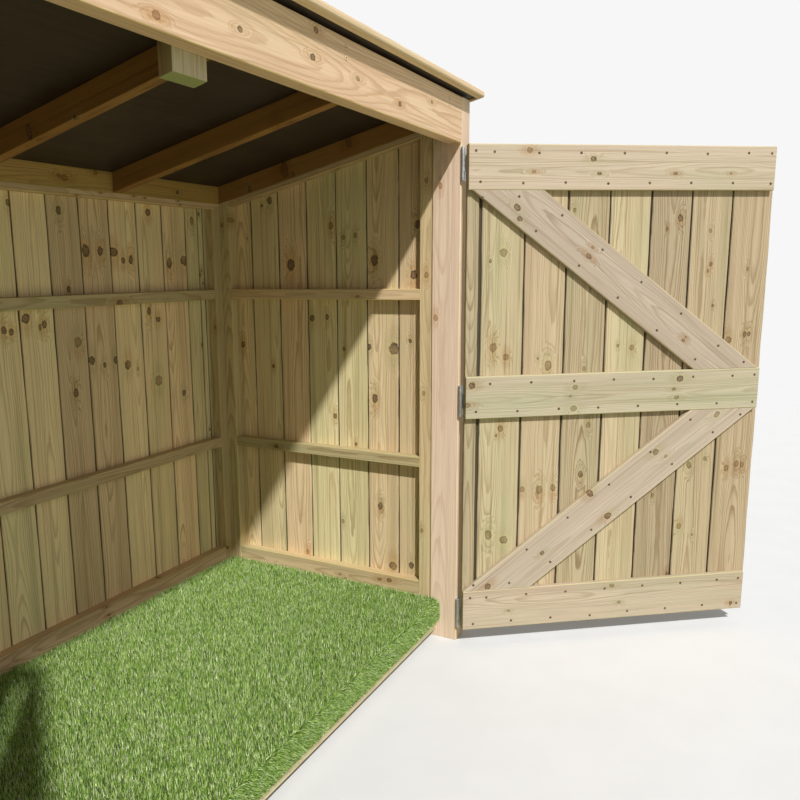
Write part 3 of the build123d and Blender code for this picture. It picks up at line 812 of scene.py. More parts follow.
# Door stop: a short square-edged offcut screwed behind the header, left of the middle
# Its front face is painted whitish in fibre streaks, partly weathering and partly painted highlight where it
# faces the light; its foot, sawn to the roof's slope, has kept the treatment's green
STOP_WOOD = ((0.42, 0.30, 0.15), (0.26, 0.175, 0.080))
STOP_TONE = (0.5, 0.6, 0.5)
STOP_ARRIS = 0.0015
STOP_FACE_WEAR_AND_HIGHLIGHT = (0.60, 0.54, 0.38)
STOP_FOOT = (0.36, 0.42, 0.17)
FACE_HIGHLIGHT_SHARE = 0.85
FOOT_SHARE = 0.75
FACE_STREAKS = ((9.0, 200.0, 200.0), 3.0)
FACE_STREAK_FADE = (0.15, 0.60)
TURNED_AWAY = (-0.3, -0.7)
slope_tangent = (header_high.z - edge_rafter_high.z) / (post_high.y - header_high.y)
slope_cosine = 1 / math.hypot(1, slope_tangent)

block_low, block_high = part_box("door_stop_block")
block_pine = pine("stop_block", STOP_WOOD, green=0.8)
# painted highlight: the faces turned to the front are whitened in fibre streaks, partly weathering and partly
# light on the front
_, turned_back, turned_up = block_pine.parts(block_pine.node("ShaderNodeNewGeometry")["True Normal"])
face_streaks = block_pine.streaks(block_pine.attribute("grain"), *FACE_STREAKS)
worn_and_lit_face = block_pine.times(block_pine.fade(turned_back, *TURNED_AWAY),
                           block_pine.fade(face_streaks, *FACE_STREAK_FADE), FACE_HIGHLIGHT_SHARE)
coat = block_pine.mix(worn_and_lit_face, block_pine.colour, STOP_FACE_WEAR_AND_HIGHLIGHT)
coat = block_pine.mix(block_pine.fade(turned_up, *TURNED_AWAY, 0.0, FOOT_SHARE), coat, STOP_FOOT)
block_pine.paint(Base_Color=coat)
sawn_off = slope_tangent * (block_high.y - block_low.y) / 2
foot_middle = (block_low.x, block_low.y, block_low.z + sawn_off)
head_middle = (block_high.x, block_high.y, block_high.z - sawn_off)
sloped = (-slope_tangent, 0.0)
block = square(foot_middle, head_middle, "Z", 31, STOP_ARRIS, start_cut=sloped, end_cut=sloped,
               tone=STOP_TONE, knots=[])
fitted("stop_block", [block], block_pine, "door_stop_block")


# Side walls: a stud behind each post, another in the back corner, and three level rails between them
# A thinner rail follows the roof along the top; planed softwood, browner than the front posts
RAIL_ARRIS = 0.003
RAIL_HEIGHT = 0.038
UPPER_RAIL_TOP = 1.240
LOWER_RAIL_TOP = 0.654
BOTTOM_RAIL_TOP = 0.193
TOP_RAIL_HEIGHT = 0.022


def sheet_under(y):
    """Height of the roof sheet's underside at depth y."""
    return header_high.z - slope_tangent * (y - header_high.y)


rafter_low, rafter_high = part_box("centre_rafter")
rafter_upright = sheet_under(rafter_high.y) - rafter_low.z


def rafter_under(y):
    return sheet_under(y) - rafter_upright


def slope_topped(low, high, seed, height_at, **options):
    """An upright timber whose head is sawn to the roof's slope."""
    head = Vector((high.x, high.y, height_at((low.y + high.y) / 2)))
    return square(low, head, "Z", seed, end_cut=(-slope_tangent, 0.0), **options)


def sloping(edges, depths, height_at, depth, seed, arris=RAIL_ARRIS, **options):
    """A timber that follows the roof between two depths, its top at height_at and its ends cut plumb."""
    x = sum(edges) / 2
    drop = depth / 2 / slope_cosine
    start, end = [(x, y, height_at(y) - drop) for y in depths]
    plumb = (0.0, slope_tangent)
    return timber(start, end, (1, 0, 0), rounded(edges[1] - edges[0], depth, arris), seed, start_cut=plumb,
                  end_cut=plumb, **options)


WALL_FRAME_WOOD = ((0.67, 0.52, 0.32), (0.39, 0.265, 0.135))
wall_frame_pine = pine("wall_frame_timber", WALL_FRAME_WOOD, green=0.45)

for side, seed in (("right", 41), ("left", 51)):
    stud_low, stud_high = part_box(side + "_front_stud")
    rear_low, rear_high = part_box(side + "_rear_stud")
    stud_knots = corner_knots = None
    rail_knots = [None, None]
    if side == "right":
        inner_face = stud_low.x
        stud_knots = spotted("YZ", inner_face, (-0.40, 1.594, 0.0086), (-0.402, 1.286, 0.0086),
                             (-0.388, 0.385, 0.0072), (-0.394, 0.883, 0.0072))
        corner_knots = spotted("YZ", inner_face, (0.458, 1.486, 0.008), (0.423, 1.503, 0.008),
                               (0.497, 1.198, 0.0096))
        rail_knots = [spotted("YZ", inner_face, (-0.137, 1.214, 0.0064)),
                      spotted("YZ", inner_face, (0.233, 0.632, 0.0088))]
    stud = slope_topped(stud_low, stud_high, seed, rafter_under, arris=RAIL_ARRIS, knots=stud_knots)
    fitted(side + "_stud", [stud], wall_frame_pine, side + "_front_stud")
    corner_stud = slope_topped(rear_low, rear_high, seed + 1, rafter_under, arris=RAIL_ARRIS,
                               knots=corner_knots)
    fitted(side + "_corner_stud", [corner_stud], wall_frame_pine, side + "_rear_stud")
    rails = []
    for number, top in enumerate((UPPER_RAIL_TOP, LOWER_RAIL_TOP)):
        low = (stud_low.x, stud_high.y, top - RAIL_HEIGHT)
        high = (stud_high.x, rear_low.y, top)
        rails.append(square(low, high, "Y", seed + 2 + number, RAIL_ARRIS, knots=rail_knots[number]))
    low = (stud_low.x, stud_high.y, stud_low.z)
    high = (stud_high.x, rear_low.y, BOTTOM_RAIL_TOP)
    rails.append(square(low, high, "Y", seed + 4, FRAME_ARRIS))
    rails.append(sloping((stud_low.x, stud_high.x), (stud_high.y, rear_low.y), rafter_under,
                         TOP_RAIL_HEIGHT * slope_cosine, seed + 5))
    fitted(side + "_rails", rails, wall_frame_pine, side + "_wall_rails")


# Back wall: a stud at each end, three level rails and a thin top rail, with the plate laid on it
# The plate carries the rafters' back ends and is sawn to the roof's slope along its top
BACK_STUD_WIDTH = 0.042
PLATE_ARRIS = 0.0025
studs_low, studs_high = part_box("back_wall_studs")
rails_low, rails_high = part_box("back_wall_rails")
back_studs = []
for number, inner in enumerate((studs_high.x - BACK_STUD_WIDTH, studs_low.x)):
    low = (inner, studs_low.y, studs_low.z)
    high = (inner + BACK_STUD_WIDTH, studs_high.y, studs_high.z)
    back_studs.append(square(low, high, "Z", 61 + number, RAIL_ARRIS))
fitted("back_studs", back_studs, wall_frame_pine, "back_wall_studs")

rail_end = studs_high.x - BACK_STUD_WIDTH
back_rail_knots = spotted("XZ", rails_low.y, (0.525, 1.21, 0.0114))
back_rail_spans = ((UPPER_RAIL_TOP - RAIL_HEIGHT, UPPER_RAIL_TOP, back_rail_knots),
                   (LOWER_RAIL_TOP - RAIL_HEIGHT, LOWER_RAIL_TOP, None),
                   (rails_low.z, BOTTOM_RAIL_TOP, None))
back_rails = []
for number, (bottom, top, knots) in enumerate(back_rail_spans):
    low = (-rail_end, rails_low.y, bottom)
    high = (rail_end, rails_high.y, top)
    back_rails.append(square(low, high, "X", 71 + number, RAIL_ARRIS, knots=knots))
top_rail_low = (rails_low.x, rails_low.y, rails_high.z - TOP_RAIL_HEIGHT)
back_rails.append(square(top_rail_low, rails_high, "X", 75, RAIL_ARRIS))
fitted("back_rails", back_rails, wall_frame_pine, "back_wall_rails")

plate_low, plate_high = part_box("wall_plate")
plate_middle = (plate_low + plate_high) / 2
back_top = sheet_under(plate_high.y) - plate_middle.z
half_height = plate_high.z - plate_middle.z
half_depth = plate_high.y - plate_middle.y
plate_section = eased([(half_height, half_depth), (-half_height, half_depth), (-half_height, -half_depth),
                       (back_top, -half_depth)], PLATE_ARRIS)
plate_knots = spotted("XZ", plate_low.y, (0.309, 1.597, 0.0079), (0.33, 1.593, 0.0114),
                      (0.836, 1.59, 0.0079), (0.455, 1.62, 0.0079))
# painted shade: the plate's colours are darker and more golden than the other frame timber, for the warm
# shade under the roof
PLATE_WOOD_IN_SHADE = ((0.54, 0.355, 0.105), (0.30, 0.175, 0.045))
PLATE_TONE = (0.45, 0.6, 0.3)
plate_ends = [(x, plate_middle.y, plate_middle.z) for x in (plate_low.x, plate_high.x)]
plate = timber(*plate_ends, (0, 0, 1), plate_section, 77, tone=PLATE_TONE, knots=plate_knots)
fitted("back_plate", [plate], pine("plate_timber", PLATE_WOOD_IN_SHADE, green=0.30), "wall_plate")


# Wall boards: upright matched boards nailed to the rails, each tongue hidden in the next board's groove
# The joints show as narrow dark gaps that waver with the boards' sawn edges; the wood in the joints and at
# their edges is painted dark as painted shade and dirt
BOARD_PITCH = 0.1255
BOARD_THICKNESS = 0.018
WALL_JOINT = 0.0040
WALL_BOARD_ARRIS = 0.0020
TONGUE = 0.006
TONGUE_REACH = TONGUE * 0.7
GROOVE = 0.007
TONGUE_OFF_MIDDLE = 0.0015
WANEY_EDGE = 0.0015
BACK_JOINTS = (0.050, 0.079, 0.151)
SIDE_FIRST_JOINT = 0.245
BOARD_STATIONS = 26
NAIL_IN = 0.030
NAIL_SIZE = 0.62
NARROW_BOARD = 0.070
MOST_BOARDS = 8


def matched(width, joint, arris, tongue_at, tongue, groove):
    """The section of a matched board, with a tongue along its right edge and a groove along its left."""
    half = width / 2
    face = BOARD_THICKNESS / 2
    reach = half + joint + TONGUE_REACH
    points = []
    if tongue:
        points += [(half, tongue_at - TONGUE / 2, IN_JOINT), (reach, tongue_at - TONGUE / 2, IN_JOINT),
                   (reach, tongue_at + TONGUE / 2, IN_JOINT), (half, tongue_at + TONGUE / 2, IN_JOINT)]
    points += [(half, face - arris, BY_JOINT), (half - arris, face, IN_SIGHT),
               (arris - half, face, IN_SIGHT), (-half, face - arris, BY_JOINT)]
    if groove:
        floor = GROOVE - half
        points += [(-half, tongue_at + GROOVE / 2, IN_JOINT), (floor, tongue_at + GROOVE / 2, IN_JOINT),
                   (floor, tongue_at - GROOVE / 2, IN_JOINT), (-half, tongue_at - GROOVE / 2, IN_JOINT)]
    return points + [(-half, arris - face, BY_JOINT), (arris - half, -face, IN_SIGHT),
                     (half - arris, -face, IN_SIGHT), (half, arris - face, BY_JOINT)]


def boarded(joints, foot, across, top_at, cut, seed, tongue_at, joint=WALL_JOINT, arris=WALL_BOARD_ARRIS,
            knots=(), tones=()):
    """Upright boards between joints, which lie in rising order along across from foot. A board takes the
    knots that lie on it, and the tone that is noted for a place on it."""
    boards = []
    for number, (left, right) in enumerate(zip(joints[:-1], joints[1:])):
        base = Vector(foot) + Vector(across) * (left + right) / 2
        section = matched(right - left - joint, joint, arris, tongue_at, right < joints[-1], left > joints[0])
        own_knots = [knot for knot in knots if left < Vector(knot[:3]).dot(Vector(across)) < right]
        tone = next((shade for place, shade in tones if left < place < right), None)
        boards.append(timber(base, (base.x, base.y, top_at(base.y)), across, section, seed + number,
                             end_cut=cut, waney=WANEY_EDGE, stations=BOARD_STATIONS, tone=tone,
                             knots=own_knots or None))
    return boards


def nail_places(joints):
    """Two nails to a board, one a little in from each joint, or one in a narrow board's middle."""
    places = []
    for left, right in zip(joints[:-1], joints[1:]):
        narrow = right - left < NARROW_BOARD
        places += [(left + right) / 2] if narrow else [left + NAIL_IN, right - NAIL_IN]
    return places


WALL_BOARD_WOOD = ((0.93, 0.76, 0.485), (0.49, 0.345, 0.165))
board_pine = pine("wall_boards", WALL_BOARD_WOOD, green=0.5, dead_knots=0.12)
SIDE_TONES = ((-0.34, (0.20, 0.6, 0.25)), (-0.21, (0.35, 0.6, 0.30)), (-0.09, (0.50, 0.5, 0.90)),
              (0.03, (0.60, 0.4, 0.80)), (0.16, (0.50, 0.7, 0.05)), (0.28, (0.45, 0.5, 0.65)),
              (0.40, (0.60, 0.4, 0.35)))
BACK_TONES = ((0.10, (0.70, 0.4, 0.60)), (0.22, (0.75, 0.4, 0.50)), (0.34, (0.10, 0.9, 0.20)),
              (0.47, (0.35, 0.8, 0.05)), (0.60, (0.80, 0.3, 0.40)), (0.72, (0.75, 0.5, 0.40)),
              (0.85, (0.70, 0.5, 0.30)), (0.95, (0.50, 0.4, 0.95)))
low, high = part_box("right_wall_boards")
side_knots = spotted(
    "YZ", low.x, (0.368, 1.434, 0.0048), (0.406, 1.022, 0.0112), (0.295, 1.552, 0.0056), (0.258, 1.57, 0.012),
    (0.169, 1.329, 0.0184), (0.079, 1.131, 0.0104), (0.013, 1.137, 0.0088), (-0.008, 1.465, 0.012),
    (-0.06, 1.422, 0.008), (-0.109, 1.429, 0.0088), (-0.057, 1.021, 0.0072), (-0.185, 1.34, 0.016),
    (-0.162, 1.032, 0.0096), (-0.261, 1.029, 0.0176), (-0.338, 1.286, 0.0128), (-0.353, 1.457, 0.012),
    (-0.325, 1.058, 0.0064), (0.262, 0.942, 0.0072), (-0.014, 0.766, 0.0088), (-0.103, 0.666, 0.0064),
    (-0.184, 0.844, 0.0136), (-0.204, 0.441, 0.012), (-0.041, 0.357, 0.0072), (-0.256, 0.214, 0.0144),
    (-0.331, 0.23, 0.0104), (0.121, 0.206, 0.0088))
nail_heights = [top - RAIL_HEIGHT / 2 for top in (BOTTOM_RAIL_TOP, LOWER_RAIL_TOP, UPPER_RAIL_TOP)]
side_walls = (("right", 1, 100, side_knots, SIDE_TONES), ("left", -1, 140, (), ()))
for side, sign, seed, knots, tones in side_walls:
    low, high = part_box(side + "_wall_boards")
    first = post_low.y + SIDE_FIRST_JOINT
    inner = [first + step * BOARD_PITCH for step in range(-MOST_BOARDS, MOST_BOARDS + 1)]
    inner = [place for place in inner if low.y + WALL_JOINT < place < high.y - WALL_JOINT]
    joints = [low.y - WALL_JOINT / 2, *inner, high.y + WALL_JOINT / 2]
    boards = boarded(joints, ((low.x + high.x) / 2, 0.0, low.z), (0, 1, 0), sheet_under,
                     (-slope_tangent, 0.0), seed, -sign * TONGUE_OFF_MIDDLE, knots=knots, tones=tones)
    fitted(side + "_boards", boards, board_pine, side + "_wall_boards", "board_timber")
    outer_face = high.x if sign > 0 else low.x
    for y in nail_places(joints):
        heights = (*nail_heights, rafter_under(y) - TOP_RAIL_HEIGHT / 2)
        driven("shelter", [(outer_face, y, z) for z in heights], (sign, 0, 0), NAIL_SIZE)

low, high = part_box("back_wall_boards")
back_knots = spotted(
    "XZ", low.y, (0.155, 1.51, 0.0092), (0.331, 1.499, 0.012), (0.428, 1.379, 0.0166), (0.489, 1.378, 0.0129),
    (0.348, 1.258, 0.0083), (0.624, 1.352, 0.012), (0.589, 1.348, 0.0092), (0.547, 1.376, 0.012),
    (0.72, 1.515, 0.011), (0.816, 1.342, 0.0166), (0.898, 1.35, 0.0156), (0.951, 1.497, 0.012),
    (0.101, 1.146, 0.0101), (0.126, 1.14, 0.0083), (0.245, 1.154, 0.011), (0.228, 1.146, 0.0074),
    (0.179, 1.176, 0.012),
    (0.369, 1.089, 0.0138), (0.423, 1.024, 0.0129), (0.476, 1.004, 0.0083), (0.529, 1.015, 0.011),
    (0.581, 0.993, 0.0129), (0.626, 0.974, 0.0064), (0.698, 1.173, 0.012), (0.742, 1.14, 0.0083),
    (0.727, 0.919, 0.0156), (0.98, 1.028, 0.0074), (0.862, 0.856, 0.0101), (0.347, 0.927, 0.012))
inner = [post_low.x - distance for distance in BACK_JOINTS]
while inner[-1] - BOARD_PITCH > low.x + WALL_JOINT:
    inner.append(inner[-1] - BOARD_PITCH)
joints = sorted([low.x - WALL_JOINT / 2, *inner, high.x + WALL_JOINT / 2])
boards = boarded(joints, (0.0, (low.y + high.y) / 2, low.z), (1, 0, 0), sheet_under,
                 (0.0, -slope_tangent), 200, TONGUE_OFF_MIDDLE, knots=back_knots, tones=BACK_TONES)
fitted("back_boards", boards, board_pine, "back_wall_boards", "board_timber")
back_heights = (*nail_heights, rails_high.z - TOP_RAIL_HEIGHT / 2)
driven("shelter", [(x, high.y, z) for x in nail_places(joints) for z in back_heights], (0, 1, 0), NAIL_SIZE)


# Rafters: three between the header and the plate and one over each side wall, ends cut plumb
# Planed softwood, painted darker and browner than the other timbers as painted shade for the dim, warm light
# under the roof
RAFTER_DEPTH = rafter_upright * slope_cosine
RAFTER_ARRIS = 0.002
# painted shade: the rafters' colours are darkened and browned for the shade under the roof
RAFTER_WOOD_IN_SHADE = ((0.36, 0.190, 0.046), (0.17, 0.080, 0.018))
RAFTER_TONE = (0.50, 0.6, 0.15)
rafter_pine = pine("rafter_timber", RAFTER_WOOD_IN_SHADE, green=0.30)
rafters = ("left_edge_rafter", "left_rafter", "centre_rafter", "right_rafter", "right_edge_rafter")
for seed, name in enumerate(rafters, start=81):
    low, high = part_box(name)
    knots = None
    if name == "right_edge_rafter":
        knots = spotted("YZ", low.x, (0.162, 1.668, 0.0136), (-0.107, 1.741, 0.0096), (0.122, 1.643, 0.0064),
                        (0.319, 1.606, 0.0072))
    rafter = sloping((low.x, high.x), (low.y, high.y), sheet_under, RAFTER_DEPTH, seed, RAFTER_ARRIS,
                     knots=knots, tone=RAFTER_TONE)
    fitted(name + "_timber", [rafter], rafter_pine, name)


# Roof sheet: resin-faced ply, nearly black, laid on the rafters from edge to edge
# The face film is smooth, with the ply's grain and a fine dust showing through it; the paler brown dust
# patches also stand in as painted sheen
FILM_DARK = (0.019, 0.012, 0.010)
FILM_WORN = (0.034, 0.021, 0.016)
FILM_DUST_AND_SHEEN = (0.092, 0.066, 0.050)
PLY_STREAKS = ((2.0, 60.0, 60.0), 3.0)
PLY_SHOWS = (0.35, 0.7)
DUST_AND_SHEEN_PACE = 3.5
DUST_AND_SHEEN_SHOWS = (0.45, 0.8, 0.0, 0.35)
FILM_ROUGHNESS = (0.3, 0.8, 0.42, 0.62)
FILM_GRIT_PACE = 700.0
FILM_GRIT = 0.5
FILM_DEPTH = 0.0003
film = Finish("roof_film")
place = film.object_place()
ply = film.streaks(place, *PLY_STREAKS)
# dust and painted sheen: paler brown patches, which also make the film rougher
dust_and_sheen = film.noise(place, DUST_AND_SHEEN_PACE, detail=4.0)
colour = film.mix(film.fade(ply, *PLY_SHOWS), FILM_DARK, FILM_WORN)
colour = film.mix(film.fade(dust_and_sheen, *DUST_AND_SHEEN_SHOWS), colour, FILM_DUST_AND_SHEEN)
film.paint(Base_Color=colour, Roughness=film.fade(dust_and_sheen, *FILM_ROUGHNESS))
film.bump(film.scaled(film.noise(place, FILM_GRIT_PACE, detail=1.0), FILM_GRIT, ply), FILM_DEPTH)
dressed(["roof_deck"], film)


# Roof edging: a rounded planed batten framed round the sheet and mitred at the corners
# It stands above the sheet and laps its edge
dressed(["front_roof_trim", "back_roof_trim"],
        pine("edging_lengthways", HEADER_WOOD, run="X", heart=(31.0, 0.52, -1.84), green=0.35))
dressed(["left_roof_trim", "right_roof_trim"],
        pine("edging_front_to_back", HEADER_WOOD, run="Y", heart=(33.0, 1.15, -1.74), green=0.35))


# Doors: each leaf is upright matched boards with a narrow strip on the hinge side, held by three ledges
# Two braces run from the hinge side's head and foot to the middle ledge's far end, cut level at both ends
# The leaves are laid out shut and then swung open on their pins
PIN = Vector((1.059, -0.532, 0.0))
OPEN_ANGLE = 128.0
HINGE_EDGE = 1.053
MEETING_EDGES = {"right": -0.0185, "left": 0.0245}
LEAF_FOOT = 0.061
LEAF_HEAD = 1.692
LEDGE_OVERLAP = 0.002
LEDGE_SET_IN = 0.013
BRACE_SET_IN = 0.008
HINGE_STRIP = 0.042
STRIP_GAP = 0.011
DOOR_BOARD_PITCH = 0.1455
DOOR_JOINT = 0.0052
DOOR_BOARD_ARRIS = 0.0025
LEDGE_HEIGHT = 0.142
LEDGE_THICKNESS = 0.020
LEDGE_ARRIS = 0.004
BRACE_ARRIS = 0.005
MIDDLE_LEDGE_FOOT = 0.811
BRACE_CUT = 0.241
UPPER_BRACE_SET_IN = 0.012

DOOR_BOARD_WOOD = ((0.560, 0.470, 0.315), (0.27, 0.190, 0.095))
LEDGE_WOOD = ((0.595, 0.510, 0.405), (0.38, 0.285, 0.190))
BRACE_WOOD = ((0.50, 0.44, 0.360), (0.33, 0.260, 0.185))
STRIP_TONE = (0.30, 0.6, 0.35)
DOOR_TONES = ((0.93, (0.70, 0.4, 0.50)), (0.78, (0.68, 0.4, 0.15)), (0.64, (0.40, 0.9, 0.35)),
              (0.49, (0.80, 0.5, 0.40)), (0.35, (0.15, 0.9, 0.15)), (0.20, (0.50, 0.6, 0.30)),
              (0.05, (0.45, 0.7, 0.05)))
LEDGE_TONES = ((0.50, 0.4, 0.30), (0.50, 0.4, 0.60), (0.60, 0.4, 0.30))
BRACE_TONES = ((0.60, 0.6, 0.05), (0.75, 0.3, 0.15))
door_board_pine = pine("door_boards", DOOR_BOARD_WOOD, green=0.50)
door_ledge_pine = pine("door_ledges", LEDGE_WOOD, green=0.60)
door_brace_pine = pine("door_braces", BRACE_WOOD, green=0.40)

door_face = post_low.y
boards_back = door_face + BOARD_THICKNESS
ledges_back = boards_back + LEDGE_THICKNESS
ledge_feet = (LEAF_FOOT, MIDDLE_LEDGE_FOOT, LEAF_HEAD - LEDGE_HEIGHT)
door_knots = spotted(
    "XZ", boards_back, (0.96, 0.397, 0.0144), (0.971, 1.328, 0.0058), (0.956, 1.046, 0.0137),
    (0.94, 0.747, 0.0043), (0.924, 0.771, 0.0094), (0.905, 0.375, 0.0122), (0.927, 1.355, 0.0115),
    (0.911, 1.013, 0.0086),
    (0.842, 0.554, 0.0086), (0.799, 1.006, 0.005), (0.78, 0.548, 0.013), (0.763, 0.981, 0.0144),
    (0.73, 0.553, 0.0108), (0.688, 1.489, 0.0065), (0.631, 0.596, 0.0108), (0.634, 0.966, 0.0079),
    (0.61, 0.771, 0.0094), (0.516, 1.041, 0.0054), (0.465, 1.033, 0.0086), (0.357, 0.506, 0.0072),
    (0.284, 0.207, 0.0072), (0.359, 1.428, 0.0054), (0.314, 1.463, 0.0101), (0.249, 0.384, 0.0094),
    (0.225, 0.609, 0.0108), (0.165, 0.629, 0.0072), (0.202, 1.287, 0.0058), (0.202, 1.42, 0.0065),
    (0.193, 1.31, 0.0065), (0.195, 0.349, 0.005), (0.175, 1.17, 0.005), (0.08, 0.591, 0.0101),
    (0.108, 1.05, 0.0101), (0.041, 0.605, 0.0108), (0.019, 0.601, 0.0094), (0.047, 1.067, 0.0086),
    (0.055, 1.291, 0.0065), (0.032, 1.069, 0.0079))
ledge_knots = [
    spotted("XZ", ledges_back, (0.887, 0.121, 0.005), (0.505, 0.186, 0.0086), (0.475, 0.121, 0.0065),
            (0.037, 0.084, 0.0058)),
    spotted("XZ", ledges_back, (1.033, 0.924, 0.0094), (1.047, 0.859, 0.0094), (0.672, 0.907, 0.0086),
            (0.688, 0.876, 0.0058), (0.675, 0.834, 0.0101), (0.291, 0.923, 0.0101), (0.313, 0.887, 0.0065),
            (0.3, 0.858, 0.0079)),
    spotted("XZ", ledges_back, (0.854, 1.672, 0.0079), (0.838, 1.607, 0.0065), (0.639, 1.647, 0.0086),
            (0.617, 1.602, 0.0065), (0.353, 1.603, 0.0065), (0.155, 1.604, 0.005))]
brace_knots = [
    spotted("XZ", ledges_back, (0.892, 1.496, 0.0108), (0.882, 1.46, 0.0079), (0.642, 1.34, 0.0094),
            (0.629, 1.368, 0.0058), (0.288, 1.055, 0.0065), (0.28, 1.066, 0.005)),
    spotted("XZ", ledges_back, (0.965, 0.217, 0.0094), (0.77, 0.326, 0.0072), (0.602, 0.531, 0.0086),
            (0.533, 0.447, 0.0115), (0.366, 0.668, 0.0094), (0.327, 0.652, 0.0065), (0.144, 0.793, 0.0101))]


def swung(sign):
    """The turn about a leaf's pins that takes it from shut to where it stands open."""
    pin = Vector((sign * PIN.x, PIN.y, 0.0))
    opened = Matrix.Rotation(sign * math.radians(OPEN_ANGLE), 4, "Z")
    return Matrix.Translation(pin) @ opened @ Matrix.Translation(-pin)


def brace(sign, hinge_x, hinge_z, meeting_x, meeting_z, seed, **options):
    """A diagonal brace, cut level where it butts the ledges."""
    y = (boards_back + ledges_back) / 2
    start = Vector((sign * (hinge_x - BRACE_CUT / 2), y, hinge_z))
    end = Vector((sign * (meeting_x + BRACE_CUT / 2), y, meeting_z))
    along = (end - start).normalized()
    across = along.cross(Vector((0, sign, 0)))
    width = BRACE_CUT * abs(along.z)
    level = -across.z / along.z
    return timber(start, end, across, rounded(width, LEDGE_THICKNESS, BRACE_ARRIS), seed,
                  start_cut=(level, 0.0), end_cut=(level, 0.0), **options)


PAST_JOINT = 0.030
LEDGE_SCREW_SHORT = 0.022
LEDGE_END_SCREWS = (0.0185, 0.0155)
LEDGE_SCREW_ROWS = (0.117, 0.022)
STRIP_SCREWS = (0.022, 0.037)
BRACE_SCREW_DEPTH = 0.034
BRACE_END_CLEAR = 0.022
BRACE_HINGE_SCREW = 0.033
BRACE_MEETING_SCREW = 0.055
SCREW_SCATTER = 0.0018


def brace_screws(joints, hinge_x, hinge_z, meeting_x, meeting_z):
    """A brace's screws: one past each joint along its meeting-side edge, one before it along the other."""
    low, high = sorted((hinge_z, meeting_z))
    pitch = (hinge_z - meeting_z) / (hinge_x - meeting_x - BRACE_CUT)
    way = BRACE_SCREW_DEPTH if meeting_z > hinge_z else -BRACE_SCREW_DEPTH
    far_edge = meeting_x + BRACE_CUT
    near = [joint + PAST_JOINT for joint in joints] + [meeting_x + BRACE_MEETING_SCREW]
    far = [joint - PAST_JOINT for joint in joints if joint > far_edge] + [hinge_x - BRACE_HINGE_SCREW]
    places = []
    for edge_x, xs, inward in ((meeting_x, near, way), (far_edge, far, -way)):
        for x in xs:
            z = meeting_z + pitch * (x - edge_x) + inward
            places.append((x, min(max(z, low + BRACE_END_CLEAR), high - BRACE_END_CLEAR)))
    return places


def ledge_screws(joints, ledge_end, foot):
    """Two rows of screws in a ledge, two to a board and out of line with each other."""
    upper = [joint - PAST_JOINT for joint in joints]
    lower = [joint + LEDGE_SCREW_SHORT for joint in joints[1:]]
    places = []
    for row, end, strip, rise in zip((upper, lower), LEDGE_END_SCREWS, STRIP_SCREWS, LEDGE_SCREW_ROWS):
        places += [(x, foot + rise) for x in (*row, ledge_end + end, HINGE_EDGE - strip)]
    return places


